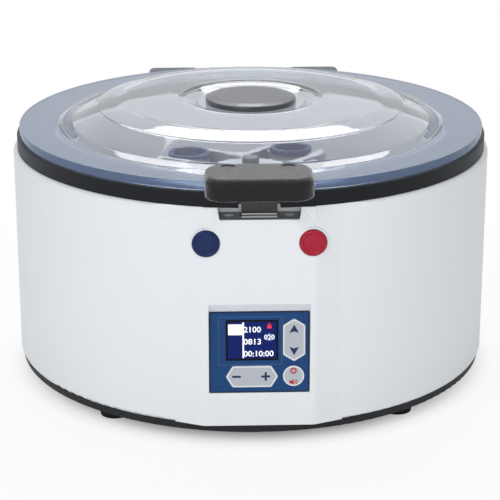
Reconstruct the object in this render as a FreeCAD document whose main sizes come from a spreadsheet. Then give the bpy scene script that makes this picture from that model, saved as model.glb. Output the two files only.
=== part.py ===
import FreeCAD, Part
import math
import os

import Sketcher

# A benchtop laboratory centrifuge with a swing-out rotor under a clear lid. Millimetres, +Z up, the
# front (buttons and control panel) towards -Y. The origin is on the floor under the middle of the machine.

doc = FreeCAD.newDocument("Centrifuge")
sheet = doc.addObject("Spreadsheet::Sheet", "Sizes")

# Every driving dimension: its name, its value and what it measures.
DIMENSIONS = [
    ("foot_height", 17.0, "floor to the lower edge of the housing"),
    ("foot_radius", 14.0, "rubber foot"),
    ("foot_inset", 25.0, "outside of the housing to the feet's centres"),
    ("foot_turn", 49.7, "angle of a front foot from the side of the machine, degrees"),
    ("housing_radius", 215.0, "outer radius of the moulded housing"),
    ("housing_height", 189.0, "height of the moulded housing"),
    ("housing_wall", 3.5, "wall of the housing"),
    ("low_round", 3.0, "rounding of the lower outer edge"),
    ("top_round", 4.0, "rounding of the upper outer edge"),
    ("top_opening", 186.0, "radius of the opening in the top of the housing"),
    ("face_inset", 1.5, "housing radius to the flat front face, which cuts the round wall"),
    ("face_wall", 3.8, "wall behind the flat front face"),
    ("face_half", 46.0, "half width of the flat front face"),
    ("face_round", 12.0, "rounding of the face's upright edges"),
    ("pod_half", 70.0, "half width of the raised front, where it ends in the round wall"),
    ("backing_depth", 6.7, "extra depth behind the control panel and round the buttons"),
    ("facet_start", 163.0, "height at which the leaning facets begin"),
    ("facet_foot", 43.0, "lowest point of a facet from the middle plane"),
    ("facet_inner", 36.0, "inner top point of a facet from the middle plane"),
    ("facet_outer", 82.0, "outer top point of a facet from the middle plane"),
    ("facet_lean", 5.0, "how far a facet leans back at its inner top point"),
    ("facet_sweep", 17.5, "how far a facet leans back at its outer top point"),
    ("rear_inset", 3.5, "housing radius to the flat inlet panel"),
    ("rear_half", 42.0, "half width of the inlet panel"),
    ("rear_low", 34.0, "lower edge of the inlet panel's backing above the floor"),
    ("rear_high", 108.0, "upper edge of the inlet panel's backing above the floor"),
    ("inlet_level", 70.0, "centres of the mains inlet and the power switch above the floor"),
    ("inlet_x", -19.0, "centre of the mains inlet from the middle plane"),
    ("switch_x", 17.0, "centre of the power switch from the middle plane"),
    ("pan_gap", 2.0, "lower edge of the housing to the base pan"),
    ("pan_sheet", 2.0, "sheet of the base pan"),
    ("pan_inset", 6.2, "housing radius to the edge of the base pan"),
    ("skirt_inset", 2.0, "housing radius to the outside of the pan's skirt"),
    ("skirt_low", 10.0, "lower edge of the pan's skirt above the floor"),
    ("rim_height", 12.4, "height of the black rim ring"),
    ("rim_inset", 3.5, "housing radius to the outside of the rim ring"),
    ("rim_bore", 178.5, "inner radius of the rim ring"),
    ("gasket_radius", 184.0, "inner radius of the lid gasket"),
    ("gasket_width", 6.3, "width of the lid gasket"),
    ("gasket_depth", 2.7, "depth of the gasket groove"),
    ("lid_gap", 0.6, "rim ring to the lid"),
    ("seat_gap", 0.3, "gasket to the lid, and pieces at rest on a stop"),
    ("pane_thickness", 7.6, "edge of the clear lid"),
    ("pane_inset", 2.5, "outside of the rim ring to the edge of the clear lid"),
    ("dome_foot", 180.0, "radius at which the dome rises from the lid"),
    ("dome_shoulder", 143.0, "radius of the dome's shoulder"),
    ("dome_brow", 122.0, "radius at which the dome becomes level"),
    ("dome_rise", 21.0, "height of the dome above the flat of the lid"),
    ("dome_wall", 4.0, "wall of the dome"),
    ("dish_rim", 62.0, "radius of the dish in the middle of the dome"),
    ("dish_floor", 48.0, "radius of the dish's floor"),
    ("dish_depth", 5.6, "depth of the dish"),
    ("cap_radius", 41.0, "cap in the middle of the dish"),
    ("cap_height", 6.2, "height of that cap"),
    ("cap_stem", 10.0, "stem of the cap"),
    ("handle_width", 88.0, "width of the lid handle"),
    ("handle_beyond", 11.0, "housing radius to the front of the handle"),
    ("handle_length", 54.0, "front to back of the handle"),
    ("handle_corner", 16.0, "corners of the handle as seen from above"),
    ("handle_round", 5.6, "rounding of the handle's upper edge"),
    ("handle_drop", 4.0, "lower edge of the handle below the lid"),
    ("handle_rise", 6.6, "top of the handle above the lid"),
    ("handle_screw_x", 24.5, "handle screws from the middle plane"),
    ("handle_screw_in", 12.0, "back of the handle to its screws"),
    ("handle_sink", 2.4, "depth of the recess for a handle screw"),
    ("hook_width", 29.0, "tongue of the lid hook"),
    ("hook_sheet", 2.5, "sheet of the lid hook"),
    ("hook_inset", 9.3, "outside of the rim ring to the back of the hook's tongue"),
    ("hook_depth", 40.5, "length of the tongue below the lid"),
    ("hook_flange", 58.0, "width of the hook's flange"),
    ("notch_half", 17.0, "half width of the rim ring's notch for the tongue"),
    ("strike_half_front", 31.7, "half width of the strike plate at its front"),
    ("strike_half_back", 41.5, "half width of the strike plate at its back"),
    ("strike_behind", 7.8, "back of the tongue to the back of the strike plate"),
    ("strike_depth", 8.2, "top of the housing to the strike plate"),
    ("strike_sheet", 1.0, "sheet of the strike plate"),
    ("bolt_radius", 3.0, "lock bolt"),
    ("bolt_travel", 5.5, "travel of the lock bolt"),
    ("bolt_length", 16.5, "length of the lock bolt"),
    ("slide_gap", 0.1, "radial clearance of the lock bolt"),
    ("button_x", 43.4, "button centres from the middle plane"),
    ("button_height", 160.0, "button centres above the housing's lower edge"),
    ("button_radius", 11.25, "push button"),
    ("button_gap", 0.3, "gap round a button"),
    ("button_travel", 2.5, "travel of a button"),
    ("panel_low", 29.7, "lower edge of the control panel above the housing's lower edge"),
    ("panel_width", 83.0, "width of the control panel"),
    ("panel_height", 69.8, "height of the control panel"),
    ("panel_set_back", 5.5, "how far the panel's upper edge is set back"),
    ("panel_sheet", 2.0, "thickness of the panel's fascia"),
    ("brow_height", 8.0, "slanted band above the panel"),
    ("key_gap", 0.25, "gap round a key"),
    ("key_proud", 0.6, "how far a key stands out of the fascia"),
    ("key_body", 1.4, "depth of a key behind the fascia's face"),
    ("board_sheet", 1.6, "thickness of a circuit board"),
    ("screen_width", 43.2, "width of the display"),
    ("screen_height", 34.7, "height of the display"),
    ("hinge_beyond", 4.5, "housing radius to the hinge pin"),
    ("hinge_drop", 3.0, "hinge pin below the lid's underside"),
    ("hinge_half", 96.5, "half width of the hinge bracket"),
    ("bracket_beyond", 11.0, "housing radius to the back of the hinge bracket"),
    ("leaf_half", 48.0, "half width of the hinge leaf"),
    ("leaf_gap", 1.5, "side gap between hinge leaf and bracket"),
    ("knuckle_radius", 7.0, "hinge knuckle"),
    ("hinge_pin_radius", 3.5, "hinge pin"),
    ("running_gap", 0.05, "radial clearance of a turning pin"),
    ("chamber_radius", 175.0, "inner radius of the chamber bowl"),
    ("chamber_floor", 45.0, "chamber floor above the housing's lower edge"),
    ("chamber_sheet", 1.5, "sheet of the chamber bowl"),
    ("floor_turn_up", 14.0, "height to which the chamber floor turns up into the wall"),
    ("hump_foot", 44.5, "radius of the bowl's middle hump at its foot"),
    ("hump_top", 41.0, "radius of the hump at its top"),
    ("hump_height", 66.0, "height of the hump above the chamber floor"),
    ("shaft_hole", 10.5, "hole for the shaft in the hump"),
    ("rotor_turn", 54.5, "angle at which the rotor rests: its first bucket from +X, degrees"),
    ("pivot_height", 153.0, "trunnion axis above the housing's lower edge"),
    ("pivot_radius", 69.0, "machine axis to the trunnion axis"),
    ("bucket_radius", 19.0, "outer radius of a bucket"),
    ("bucket_wall", 2.0, "wall of a bucket"),
    ("bucket_floor", 3.0, "floor of a bucket"),
    ("bucket_below", 94.0, "trunnion axis to the bottom of a bucket"),
    ("bucket_above", 6.0, "trunnion axis to the top of a bucket"),
    ("collar_radius", 20.0, "flange of the bucket's coloured collar"),
    ("collar_height", 6.0, "height of that flange"),
    ("collar_bore", 15.4, "bore of the collar"),
    ("collar_sleeve", 20.0, "length of the collar inside the bucket"),
    ("trunnion_half", 22.5, "half width of a bucket over its trunnion blocks"),
    ("pin_radius", 4.0, "trunnion pin"),
    ("pin_tip", 19.7, "bucket's middle plane to the tip of a trunnion pin"),
    ("fork_half", 23.0, "half width of the gap between two prongs"),
    ("prong_width", 8.0, "width of a prong of the yoke"),
    ("prong_reach", 84.0, "machine axis to the end of a prong"),
    ("yoke_thickness", 16.0, "height of the yoke's prongs"),
    ("yoke_web", 6.0, "thickness of the web between two prongs"),
    ("hub_radius", 20.0, "boss of the yoke"),
    ("hub_drop", 22.0, "length of the boss below the prongs"),
    ("shaft_radius", 7.5, "drive shaft"),
    ("shaft_nose", 6.0, "thin end of the shaft's cone"),
    ("thread_radius", 4.0, "threaded end of the shaft"),
    ("nut_radius", 8.0, "rotor nut"),
    ("nut_height", 10.0, "height of the rotor nut"),
    ("mount_height", 10.0, "height of a vibration mount"),
    ("mount_radius", 11.0, "radius of a vibration mount"),
    ("mount_circle", 62.0, "radius on which the vibration mounts stand"),
    ("motor_plate_radius", 78.0, "motor plate"),
    ("motor_plate_sheet", 4.0, "thickness of the motor plate"),
    ("motor_radius", 38.0, "outside of the motor"),
    ("motor_wall", 4.0, "wall of the motor housing"),
    ("motor_height", 75.0, "height of the motor housing"),
    ("bearing_radius", 16.0, "outside of a ball bearing"),
    ("bearing_width", 9.0, "width of a ball bearing"),
    ("race_radius", 9.6, "outside of a bearing's inner race"),
    ("air_gap", 0.6, "gap between the motor's magnets and its coils"),
]


class Size:
    """A number together with the spreadsheet formula that gives it."""

    def __init__(self, value, text):
        self.value = value
        self.text = text

    def __add__(self, other):
        other = size(other)
        return Size(self.value + other.value, f"({self.text} + {other.text})")

    def __sub__(self, other):
        other = size(other)
        return Size(self.value - other.value, f"({self.text} - {other.text})")

    def __mul__(self, other):
        other = size(other)
        return Size(self.value * other.value, f"({self.text} * {other.text})")

    def __truediv__(self, other):
        other = size(other)
        return Size(self.value / other.value, f"({self.text} / {other.text})")

    def __neg__(self):
        return Size(-self.value, f"(0 - {self.text})")

    __radd__ = __add__
    __rmul__ = __mul__

    def __rsub__(self, other):
        return size(other) - self


def size(number):
    """The number itself as a Size, or the Size that was given."""
    if isinstance(number, Size):
        return number
    return Size(float(number), repr(float(number)))


def root(number):
    """Square root."""
    return Size(math.sqrt(number.value), f"sqrt({number.text})")


def turned(radius, degrees):
    """The x and y of a point on a circle."""
    angle = math.radians(degrees.value)
    across = Size(radius.value * math.cos(angle), f"({radius.text} * cos({degrees.text}))")
    along = Size(radius.value * math.sin(angle), f"({radius.text} * sin({degrees.text}))")
    return across, along


def on_circle(radius, across):
    """How far along the other axis a circle of this radius is, at this distance across."""
    return root(radius * radius - across * across)


for row, (name, value, meaning) in enumerate(DIMENSIONS, start=1):
    sheet.set(f"A{row}", name)
    sheet.set(f"B{row}", str(value))
    sheet.setAlias(f"B{row}", name)
    sheet.set(f"C{row}", meaning)
doc.recompute()
named = {name: Size(value, f"Sizes.{name}") for name, value, meaning in DIMENSIONS}


class Names:
    """The driving dimensions as attributes, such as s.foot_height."""


s = Names()
s.__dict__.update(named)

# Radii and depths that follow the housing
s.foot_circle = s.housing_radius - s.foot_inset
s.face_depth = s.housing_radius - s.face_inset
s.rear_depth = s.housing_radius - s.rear_inset
s.pan_radius = s.housing_radius - s.pan_inset
s.rim_radius = s.housing_radius - s.rim_inset
s.pane_radius = s.rim_radius - s.pane_inset
s.handle_front = s.housing_radius + s.handle_beyond
s.handle_back = s.handle_front - s.handle_length
s.handle_screw_y = s.handle_back + s.handle_screw_in
s.hook_back = s.rim_radius - s.hook_inset
s.strike_back = s.hook_back - s.strike_behind
s.hinge_axis_y = s.housing_radius + s.hinge_beyond
s.hinge_depth = s.housing_radius + s.bracket_beyond

pieces = {}


def bind(thing, place, amount):
    """Tie one property of an object to the spreadsheet."""
    thing.setExpression(place, size(amount).text)


def keep(node, thing):
    """Give a finished sub-part its name."""
    thing.Label = node
    pieces[node] = thing
    return thing


def new_body(name):
    body = doc.addObject("PartDesign::Body", name)
    body.AllowCompound = True
    return body


def new_sketch(body, plane, offset):
    """An empty sketch on one of the body's own planes, shifted by offset in the plane's directions."""
    sketch = body.newObject("Sketcher::SketchObject", "Outline")
    support = [item for item in body.Origin.OriginFeatures if item.Role == plane + "_Plane"][0]
    sketch.AttachmentSupport = (support, [""])
    sketch.MapMode = "FlatFace"
    values = [size(amount) for amount in offset]
    base = FreeCAD.Vector(*[v.value for v in values])
    sketch.AttachmentOffset = FreeCAD.Placement(base, FreeCAD.Rotation())
    for letter, amount in zip("xyz", values):
        bind(sketch, f"AttachmentOffset.Base.{letter}", amount)
    return sketch


def fix_point(sketch, point, across, up):
    """Hold one construction point of a sketch at two bound distances from the sketch's origin."""
    for kind, amount in (("DistanceX", across), ("DistanceY", up)):
        number = sketch.addConstraint(Sketcher.Constraint(kind, -1, 1, point, 1, amount.value))
        bind(sketch, f"Constraints[{number}]", amount)


def add_outline(sketch, corners):
    """A closed outline of straight lines, with an arc at each corner that gives a radius."""
    corners = [[size(amount) for amount in corner] for corner in corners]
    spots = [FreeCAD.Vector(corner[0].value, corner[1].value, 0) for corner in corners]
    count = len(corners)
    starts, ends, bends = list(spots), list(spots), {}
    for i, corner in enumerate(corners):
        if len(corner) < 3:
            continue
        radius = corner[2].value
        back = (spots[i - 1] - spots[i]).normalize()
        onward = (spots[(i + 1) % count] - spots[i]).normalize()
        half = back.getAngle(onward) / 2
        middle = (back + onward).normalize()
        centre = spots[i] + middle * (radius / math.sin(half))
        ends[i] = spots[i] + back * (radius / math.tan(half))
        starts[i] = spots[i] + onward * (radius / math.tan(half))
        bends[i] = (centre, centre - middle * radius)
    sides = [Part.LineSegment(starts[i], ends[(i + 1) % count]) for i in range(count)]
    lines = [sketch.addGeometry(side, False) for side in sides]
    for i, corner in enumerate(corners):
        point = sketch.addGeometry(Part.Point(spots[i]), True)
        fix_point(sketch, point, corner[0], corner[1])
        before, after = lines[i - 1], lines[i]
        if i not in bends:
            sketch.addConstraint(Sketcher.Constraint("Coincident", before, 2, point, 1))
            sketch.addConstraint(Sketcher.Constraint("Coincident", after, 1, point, 1))
            continue
        centre, middle = bends[i]
        arc = sketch.addGeometry(Part.Arc(ends[i], middle, starts[i]), False)
        leftwards = (ends[i] - centre).cross(starts[i] - centre).z > 0
        first, last = (1, 2) if leftwards else (2, 1)
        sketch.addConstraint(Sketcher.Constraint("Tangent", before, 2, arc, first))
        sketch.addConstraint(Sketcher.Constraint("Tangent", arc, last, after, 1))
        sketch.addConstraint(Sketcher.Constraint("PointOnObject", point, 1, before))
        sketch.addConstraint(Sketcher.Constraint("PointOnObject", point, 1, after))
        number = sketch.addConstraint(Sketcher.Constraint("Radius", arc, corner[2].value))
        bind(sketch, f"Constraints[{number}]", corner[2])


def add_circle(sketch, across, up, radius):
    across, up, radius = size(across), size(up), size(radius)
    centre = FreeCAD.Vector(across.value, up.value, 0)
    circle = sketch.addGeometry(Part.Circle(centre, FreeCAD.Vector(0, 0, 1), radius.value), False)
    point = sketch.addGeometry(Part.Point(centre), True)
    fix_point(sketch, point, across, up)
    sketch.addConstraint(Sketcher.Constraint("Coincident", circle, 3, point, 1))
    number = sketch.addConstraint(Sketcher.Constraint("Radius", circle, radius.value))
    bind(sketch, f"Constraints[{number}]", radius)


def draw(body, plane, corners=(), circles=(), offset=(0, 0, 0)):
    """A sketch with an optional outline and any circles, each (across, up, radius)."""
    sketch = new_sketch(body, plane, offset)
    if corners:
        add_outline(sketch, corners)
    for circle in circles:
        add_circle(sketch, *circle)
    return sketch


def sweep_sketch(body, kind, sketch, length, back=False, both=False):
    """Pad or pocket a sketch by a bound length."""
    feature = body.newObject("PartDesign::" + kind, kind)
    feature.Profile = sketch
    feature.Type = 0
    feature.Length = size(length).value
    bind(feature, "Length", length)
    feature.Reversed = back
    feature.Midplane = both
    return feature


def pad(body, plane, corners, length, offset=(0, 0, 0), circles=(), back=False, both=False):
    return sweep_sketch(body, "Pad", draw(body, plane, corners, circles, offset), length, back, both)


def pocket(body, plane, corners, length, offset=(0, 0, 0), circles=(), back=False, both=False):
    return sweep_sketch(body, "Pocket", draw(body, plane, corners, circles, offset), length, back, both)


def turn(body, kind, plane, corners, offset=(0, 0, 0)):
    """Revolve or groove an outline about its sketch's upright axis."""
    sketch = draw(body, plane, corners, (), offset)
    feature = body.newObject("PartDesign::" + kind, kind)
    feature.Profile = sketch
    feature.ReferenceAxis = (sketch, ["V_Axis"])
    feature.Angle = 360
    return feature


def turned_body(node, corners):
    """A piece turned about the machine's axis from its half section."""
    body = new_body(node)
    turn(body, "Revolution", "XZ", corners)
    return body


AXES = {
    "X": FreeCAD.Rotation(FreeCAD.Vector(0, 1, 0), 90),
    "Y": FreeCAD.Rotation(FreeCAD.Vector(1, 0, 0), -90),
    "Z": FreeCAD.Rotation(),
}


def place(thing, base, axis="Z"):
    values = [size(amount) for amount in base]
    thing.Placement = FreeCAD.Placement(FreeCAD.Vector(*[v.value for v in values]), AXES[axis])
    for letter, amount in zip("xyz", values):
        bind(thing, f"Placement.Base.{letter}", amount)


def rod(radius, length, base, axis="Z", name="Rod"):
    """A cylinder that starts at base and runs along +axis."""
    thing = doc.addObject("Part::Cylinder", name)
    bind(thing, "Radius", radius)
    bind(thing, "Height", length)
    place(thing, base, axis)
    return thing


def taper(radius, end_radius, length, base, axis="Z", name="Taper"):
    """A cone that starts at base and runs along +axis."""
    thing = doc.addObject("Part::Cone", name)
    bind(thing, "Radius1", radius)
    bind(thing, "Radius2", end_radius)
    bind(thing, "Height", length)
    place(thing, base, axis)
    return thing


def block(low, high, name="Block"):
    """A box between two corners."""
    thing = doc.addObject("Part::Box", name)
    for side, start, end in zip(("Length", "Width", "Height"), low, high):
        bind(thing, side, size(end) - start)
    place(thing, low)
    return thing


def join(*things, name="Joined"):
    thing = doc.addObject("Part::MultiFuse", name)
    thing.Shapes = list(things)
    thing.Refine = True
    return thing


def carve(base, *tools, name="Carved"):
    thing = doc.addObject("Part::Cut", name)
    thing.Base = base
    thing.Tool = tools[0] if len(tools) == 1 else join(*tools)
    thing.Refine = True
    return thing


def soften(body, radius, chosen):
    """Fillet every edge of the body so far for which chosen(edge) is true."""
    doc.recompute()
    base = body.Tip
    names = [f"Edge{i + 1}" for i, edge in enumerate(base.Shape.Edges) if chosen(edge)]
    fillet = body.newObject("PartDesign::Fillet", "Fillet")
    fillet.Base = (base, names)
    bind(fillet, "Radius", radius)
    body.Tip = fillet
    return fillet


def level(edge, height):
    """True for an edge that lies at this height."""
    box = edge.BoundBox
    return abs(box.ZMin - height.value) < 0.01 and abs(box.ZMax - height.value) < 0.01


# Heights above the floor
shell_bottom = s.foot_height
shell_top = s.foot_height + s.housing_height
rim_top = shell_top + s.rim_height
lid_bottom = rim_top + s.lid_gap
lid_top = lid_bottom + s.pane_thickness
dome_top = lid_top + s.dome_rise
dish_level = dome_top - s.dish_depth
ledge_top = shell_top - s.strike_depth
pan_bottom = shell_bottom + s.pan_gap
pan_top = pan_bottom + s.pan_sheet
pivot_level = shell_bottom + s.pivot_height
floor_level = shell_bottom + s.chamber_floor
button_level = shell_bottom + s.button_height
panel_bottom = shell_bottom + s.panel_low
panel_top = panel_bottom + s.panel_height
hinge_level = lid_bottom - s.hinge_drop

# Distances from the machine's axis
cavity_radius = s.housing_radius - s.housing_wall
face_inside = s.face_depth - s.face_wall
backing = face_inside - s.backing_depth
gasket_end = s.gasket_radius + s.gasket_width
leaf_inner = gasket_end + 3.7

# Fasteners first, because each also cuts its own hole


def screws(node, places, head_radius, head_height, shank_radius, length, axis="Z", sink=0.0):
    """Screws with round heads. Each place is the top of a head, and the shank runs along -axis."""
    shapes = []
    for x, y, z in places:
        step = {"Y": (0, 1, 0), "Z": (0, 0, 1)}[axis]
        start = [size(v) - size(head_height) * k for v, k in zip((x, y, z), step)]
        tip = [size(v) - size(length) * k for v, k in zip((x, y, z), step)]
        if sink:
            head = taper(shank_radius, head_radius, head_height, start, axis)
        else:
            head = rod(head_radius, head_height, start, axis)
        shapes.append(join(head, rod(shank_radius, length, tip, axis)))
    return keep(node, join(*shapes, name=node))


foot_x, foot_y = turned(s.foot_circle, s.foot_turn)
FOOT_PLACES = [(foot_x * i, foot_y * j) for i in (1, -1) for j in (1, -1)]
mount_x = s.mount_circle / math.sqrt(2)
MOUNT_PLACES = [(mount_x * i, mount_x * j) for i in (1, -1) for j in (1, -1)]

strike_screws = screws(
    "strike_screws", [(s.handle_screw_x * i, -(s.hook_back + 1.2), ledge_top) for i in (1, -1)],
    3.8, 1.8, 2.0, 4.2, sink=1)
handle_screws = screws(
    "handle_screws",
    [(s.handle_screw_x * i, -s.handle_screw_y, lid_top + s.handle_rise - s.handle_sink) for i in (1, -1)],
    5.0, 2.4, 2.5, s.handle_rise - s.handle_sink + 6.0)
mount_level = pan_top + s.mount_height
mount_head = 4.0
mount_screws = screws(
    "mount_screws", [(x, y, mount_level + s.motor_plate_sheet + mount_head) for x, y in MOUNT_PLACES],
    6.0, mount_head, 3.0, s.motor_plate_sheet + mount_head + 6.0)
inner_screw, outer_screw = size(28.0), size(76.0)
head_end = s.hinge_depth - 2.0
hinge_screws = screws(
    "hinge_screws",
    [(x * i, head_end, shell_top - 5.5) for i in (1, -1) for x in (inner_screw, outer_screw)],
    4.5, 3.0, 2.5, head_end - on_circle(cavity_radius, outer_screw) + 3.0, axis="Y")


def screws_from_below(node, places, head_radius, head_height, shank_radius, length):
    """Screws whose heads face down. Each place is the bottom of a head."""
    shapes = []
    for x, y, z in places:
        shapes.append(join(rod(head_radius, head_height, (x, y, z)), rod(shank_radius, length, (x, y, z))))
    return keep(node, join(*shapes, name=node))


foot_screws = screws_from_below(
    "foot_screws", [(x, y, 4.0) for x, y in FOOT_PLACES], 5.0, 3.5, 2.5, pan_top - 4.0 + 3.0)
leaf_low = hinge_level - 0.4
leaf_screws = screws_from_below(
    "leaf_screws", [(i * x, leaf_inner + 6.0, leaf_low) for i in (1, -1) for x in (14.0, 38.0)],
    3.5, 1.6, 1.8, lid_bottom - leaf_low + 5.0)
hook_screws = screws_from_below(
    "hook_screws", [(i * 22.0, -(s.hook_back - 3.6), lid_bottom - s.hook_sheet) for i in (1, -1)],
    3.2, 1.2, 1.7, s.hook_sheet + 5.0)

def centred(across, up, half_width, half_height):
    """The corners of a rectangle about its middle."""
    return [
        (across - half_width, up - half_height), (across + half_width, up - half_height),
        (across + half_width, up + half_height), (across - half_width, up + half_height),
    ]


# Housing: a turned shell with a raised front that carries the flat face


def housing():
    body = new_body("HousingForm")
    turn(body, "Revolution", "XZ", [
        (cavity_radius, shell_bottom),
        (s.housing_radius, shell_bottom, s.low_round),
        (s.housing_radius, shell_top, s.top_round),
        (s.top_opening, shell_top),
        (s.top_opening, shell_top - s.housing_wall),
        (cavity_radius, shell_top - s.housing_wall),
    ])
    # the raised front ends a little inside the round wall, so that its flanks run into it without a step
    pod_end = on_circle(s.housing_radius, s.pod_half) - 0.3
    inner_half, bend = size(28.0), size(60.0)
    neck = on_circle(cavity_radius, s.pod_half) + 1.5
    bend_depth = on_circle(cavity_radius, bend) + 0.8
    pad(body, "XY", [
        (-s.pod_half, -neck),
        (-s.pod_half, -pod_end),
        (-s.face_half, -s.face_depth, s.face_round),
        (s.face_half, -s.face_depth, s.face_round),
        (s.pod_half, -pod_end),
        (s.pod_half, -neck),
        (bend, -bend_depth),
        (inner_half, -face_inside),
        (-inner_half, -face_inside),
        (-bend, -bend_depth),
    ], s.housing_height, (0, 0, shell_bottom))
    # the turned wall stands out in the middle of the flat face, so it is cut back flush
    pocket(body, "XY", [
        (-bend, -s.face_depth), (bend, -s.face_depth), (bend, -(s.housing_radius + 5.0)),
        (-bend, -(s.housing_radius + 5.0)),
    ], s.housing_height + 10.0, (0, 0, shell_top + 5.0))
    # leaning facets between the flat face and the round rim
    for side in (1, -1):
        foot = (-s.facet_foot * side, -s.face_depth, shell_bottom + s.facet_start)
        near = (-s.facet_inner * side, -(s.face_depth - s.facet_lean), shell_top)
        far = (-s.facet_outer * side, -(s.face_depth - s.facet_sweep), shell_top)
        apex, inner, outer = [FreeCAD.Vector(*[v.value for v in spot]) for spot in (foot, near, far)]
        outward = (inner - apex).cross(outer - apex).normalize() * side
        sketch = new_sketch(body, "XY", foot)
        tilt = FreeCAD.Rotation(FreeCAD.Vector(0, 0, 1), outward)
        sketch.AttachmentOffset = FreeCAD.Placement(apex, tilt)
        add_outline(sketch, [(-90.0, -90.0), (90.0, -90.0), (90.0, 90.0), (-90.0, 90.0)])
        sweep_sketch(body, "Pocket", sketch, 40.0, back=True)
    # box for the strike plate, its recess and the slot for the hook
    box_half, box_back, box_front = s.strike_half_back + 4.0, s.strike_back - 3.0, face_inside - 0.5
    pad(body, "XY", [
        (-box_half, -box_back), (box_half, -box_back), (box_half, -box_front), (-box_half, -box_front),
    ], s.strike_depth + 4.0, (0, 0, ledge_top - 4.0))
    pocket(body, "XY", [
        (-s.strike_half_front, -s.face_depth), (-s.strike_half_back, -s.strike_back),
        (s.strike_half_back, -s.strike_back), (s.strike_half_front, -s.face_depth),
        (s.strike_half_front, -(s.face_depth + 5.0)), (-s.strike_half_front, -(s.face_depth + 5.0)),
    ], s.strike_depth + s.strike_sheet, (0, 0, shell_top))
    slot_front = s.hook_back + s.hook_sheet + 2.6
    slot_back = s.hook_back - 1.8
    pocket(body, "XY", [
        (-(s.hook_width / 2 + 2.0), -slot_front), (s.hook_width / 2 + 2.0, -slot_front),
        (s.hook_width / 2 + 2.0, -slot_back), (-(s.hook_width / 2 + 2.0), -slot_back),
    ], 6.0, (0, 0, ledge_top))
    # bosses and holes of the two push buttons
    for side in (1, -1):
        pad(body, "XZ", (), s.face_depth - 0.2 - (face_inside - 2.0), (0, 0, face_inside - 2.0),
            [(s.button_x * side, button_level, s.button_radius + 1.4)])
        pad(body, "XZ", (), s.backing_depth - 1.2, (0, 0, backing),
            [(s.button_x * side, button_level, s.button_radius + 3.75)])
    for side in (1, -1):
        pocket(body, "XZ", (), 20.0, (0, 0, face_inside + 10.0),
               [(s.button_x * side, button_level, s.button_radius + s.button_gap)])
    # thicker wall behind the control panel, its wedge-shaped recess and the window for the board
    frame_half = s.panel_width / 2 + 6.0
    frame_low, frame_high = panel_bottom - 6.0, panel_top + s.brow_height + 4.0
    pad(body, "XZ", [
        (-frame_half, frame_low), (frame_half, frame_low),
        (frame_half, frame_high), (-frame_half, frame_high),
    ], s.face_depth - 1.5 - backing, (0, 0, backing))
    seat = s.face_depth - s.panel_sheet - 0.1
    pocket(body, "YZ", [
        (-(s.face_depth + 5.0), panel_bottom - 0.2),
        (-seat, panel_bottom - 0.2),
        (-(seat - s.panel_set_back), panel_top + 0.2),
        (-(s.face_depth - s.panel_set_back), panel_top + 0.2),
        (-s.face_depth, panel_top + s.brow_height),
        (-(s.face_depth + 5.0), panel_top + s.brow_height),
    ], s.panel_width + 0.6, both=True)
    window_half = s.panel_width / 2 - 4.0
    pocket(body, "XZ", [
        (-window_half, panel_bottom + 3.0), (window_half, panel_bottom + 3.0),
        (window_half, panel_top - 3.0), (-window_half, panel_top - 3.0),
    ], 30.0, (0, 0, s.face_depth + 10.0))
    # stand-offs for the control board
    pad(body, "XZ", (), 4.5, (0, 0, backing - 4.0),
        [(44.0 * i, height, 3.0) for i in (1, -1) for height in (panel_bottom + 2.0, panel_top + 4.0)])
    # flat panel for the mains inlet and the power switch at the back
    half, low, high = s.rear_half, s.rear_low, s.rear_high
    pad(body, "XZ", [(-half, low), (half, low), (half, high), (-half, high)], 9.0,
        (0, 0, -(s.rear_depth + 1.0)))
    half, beyond = s.rear_half - 3.0, s.housing_radius + 5.0
    pocket(body, "XY", [(-half, s.rear_depth), (half, s.rear_depth), (half, beyond), (-half, beyond)],
           high - low - 8.0, (0, 0, high - 4.0))
    behind = (0, 0, -(s.rear_depth + 5.0))
    for middle, half_width in ((s.inlet_x, 15.0), (s.switch_x, 10.0)):
        pocket(body, "XZ", centred(middle, s.inlet_level, half_width, 13.0), 20.0, behind, back=True)
    keep("housing_shell", carve(body, strike_screws, hinge_screws, name="housing_shell"))


housing()

# Base: steel pan, feet


def base():
    """The pan closes the housing from below, and its skirt stands between housing and feet."""
    skirt_inner = s.foot_circle + s.foot_radius + 1.0
    skirt_outer = s.housing_radius - s.skirt_inset
    skirt_top = shell_bottom - s.seat_gap
    body = turned_body("PanForm", [
        (0, pan_bottom),
        (skirt_inner, pan_bottom),
        (skirt_inner, s.skirt_low),
        (skirt_outer, s.skirt_low, 1.5),
        (skirt_outer, skirt_top),
        (s.pan_radius, skirt_top),
        (s.pan_radius, pan_top),
        (0, pan_top),
    ])
    # a row of vent slots
    for i in range(-4, 5):
        pocket(body, "XY", [
            (i * 12.0 - 2.5, 100.0, 2.4), (i * 12.0 + 2.5, 100.0, 2.4),
            (i * 12.0 + 2.5, 150.0, 2.4), (i * 12.0 - 2.5, 150.0, 2.4),
        ], s.pan_sheet + 2.0, (0, 0, pan_top + 1.0))
    keep("base_pan", carve(body, foot_screws, name="base_pan"))
    feet = []
    for x, y in FOOT_PLACES:
        foot = join(taper(s.foot_radius - 1.5, s.foot_radius, s.foot_height * 0.5, (x, y, 0)),
                    rod(s.foot_radius, s.foot_height * 0.5, (x, y, s.foot_height * 0.5)),
                    rod(s.foot_radius - 3.0, s.pan_gap, (x, y, s.foot_height)))
        feet.append(carve(foot, rod(5.0, 4.0, (x, y, 0))))
    keep("rubber_feet", carve(join(*feet), foot_screws, name="rubber_feet"))


base()

# Rim ring, gasket and chamber bowl


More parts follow.
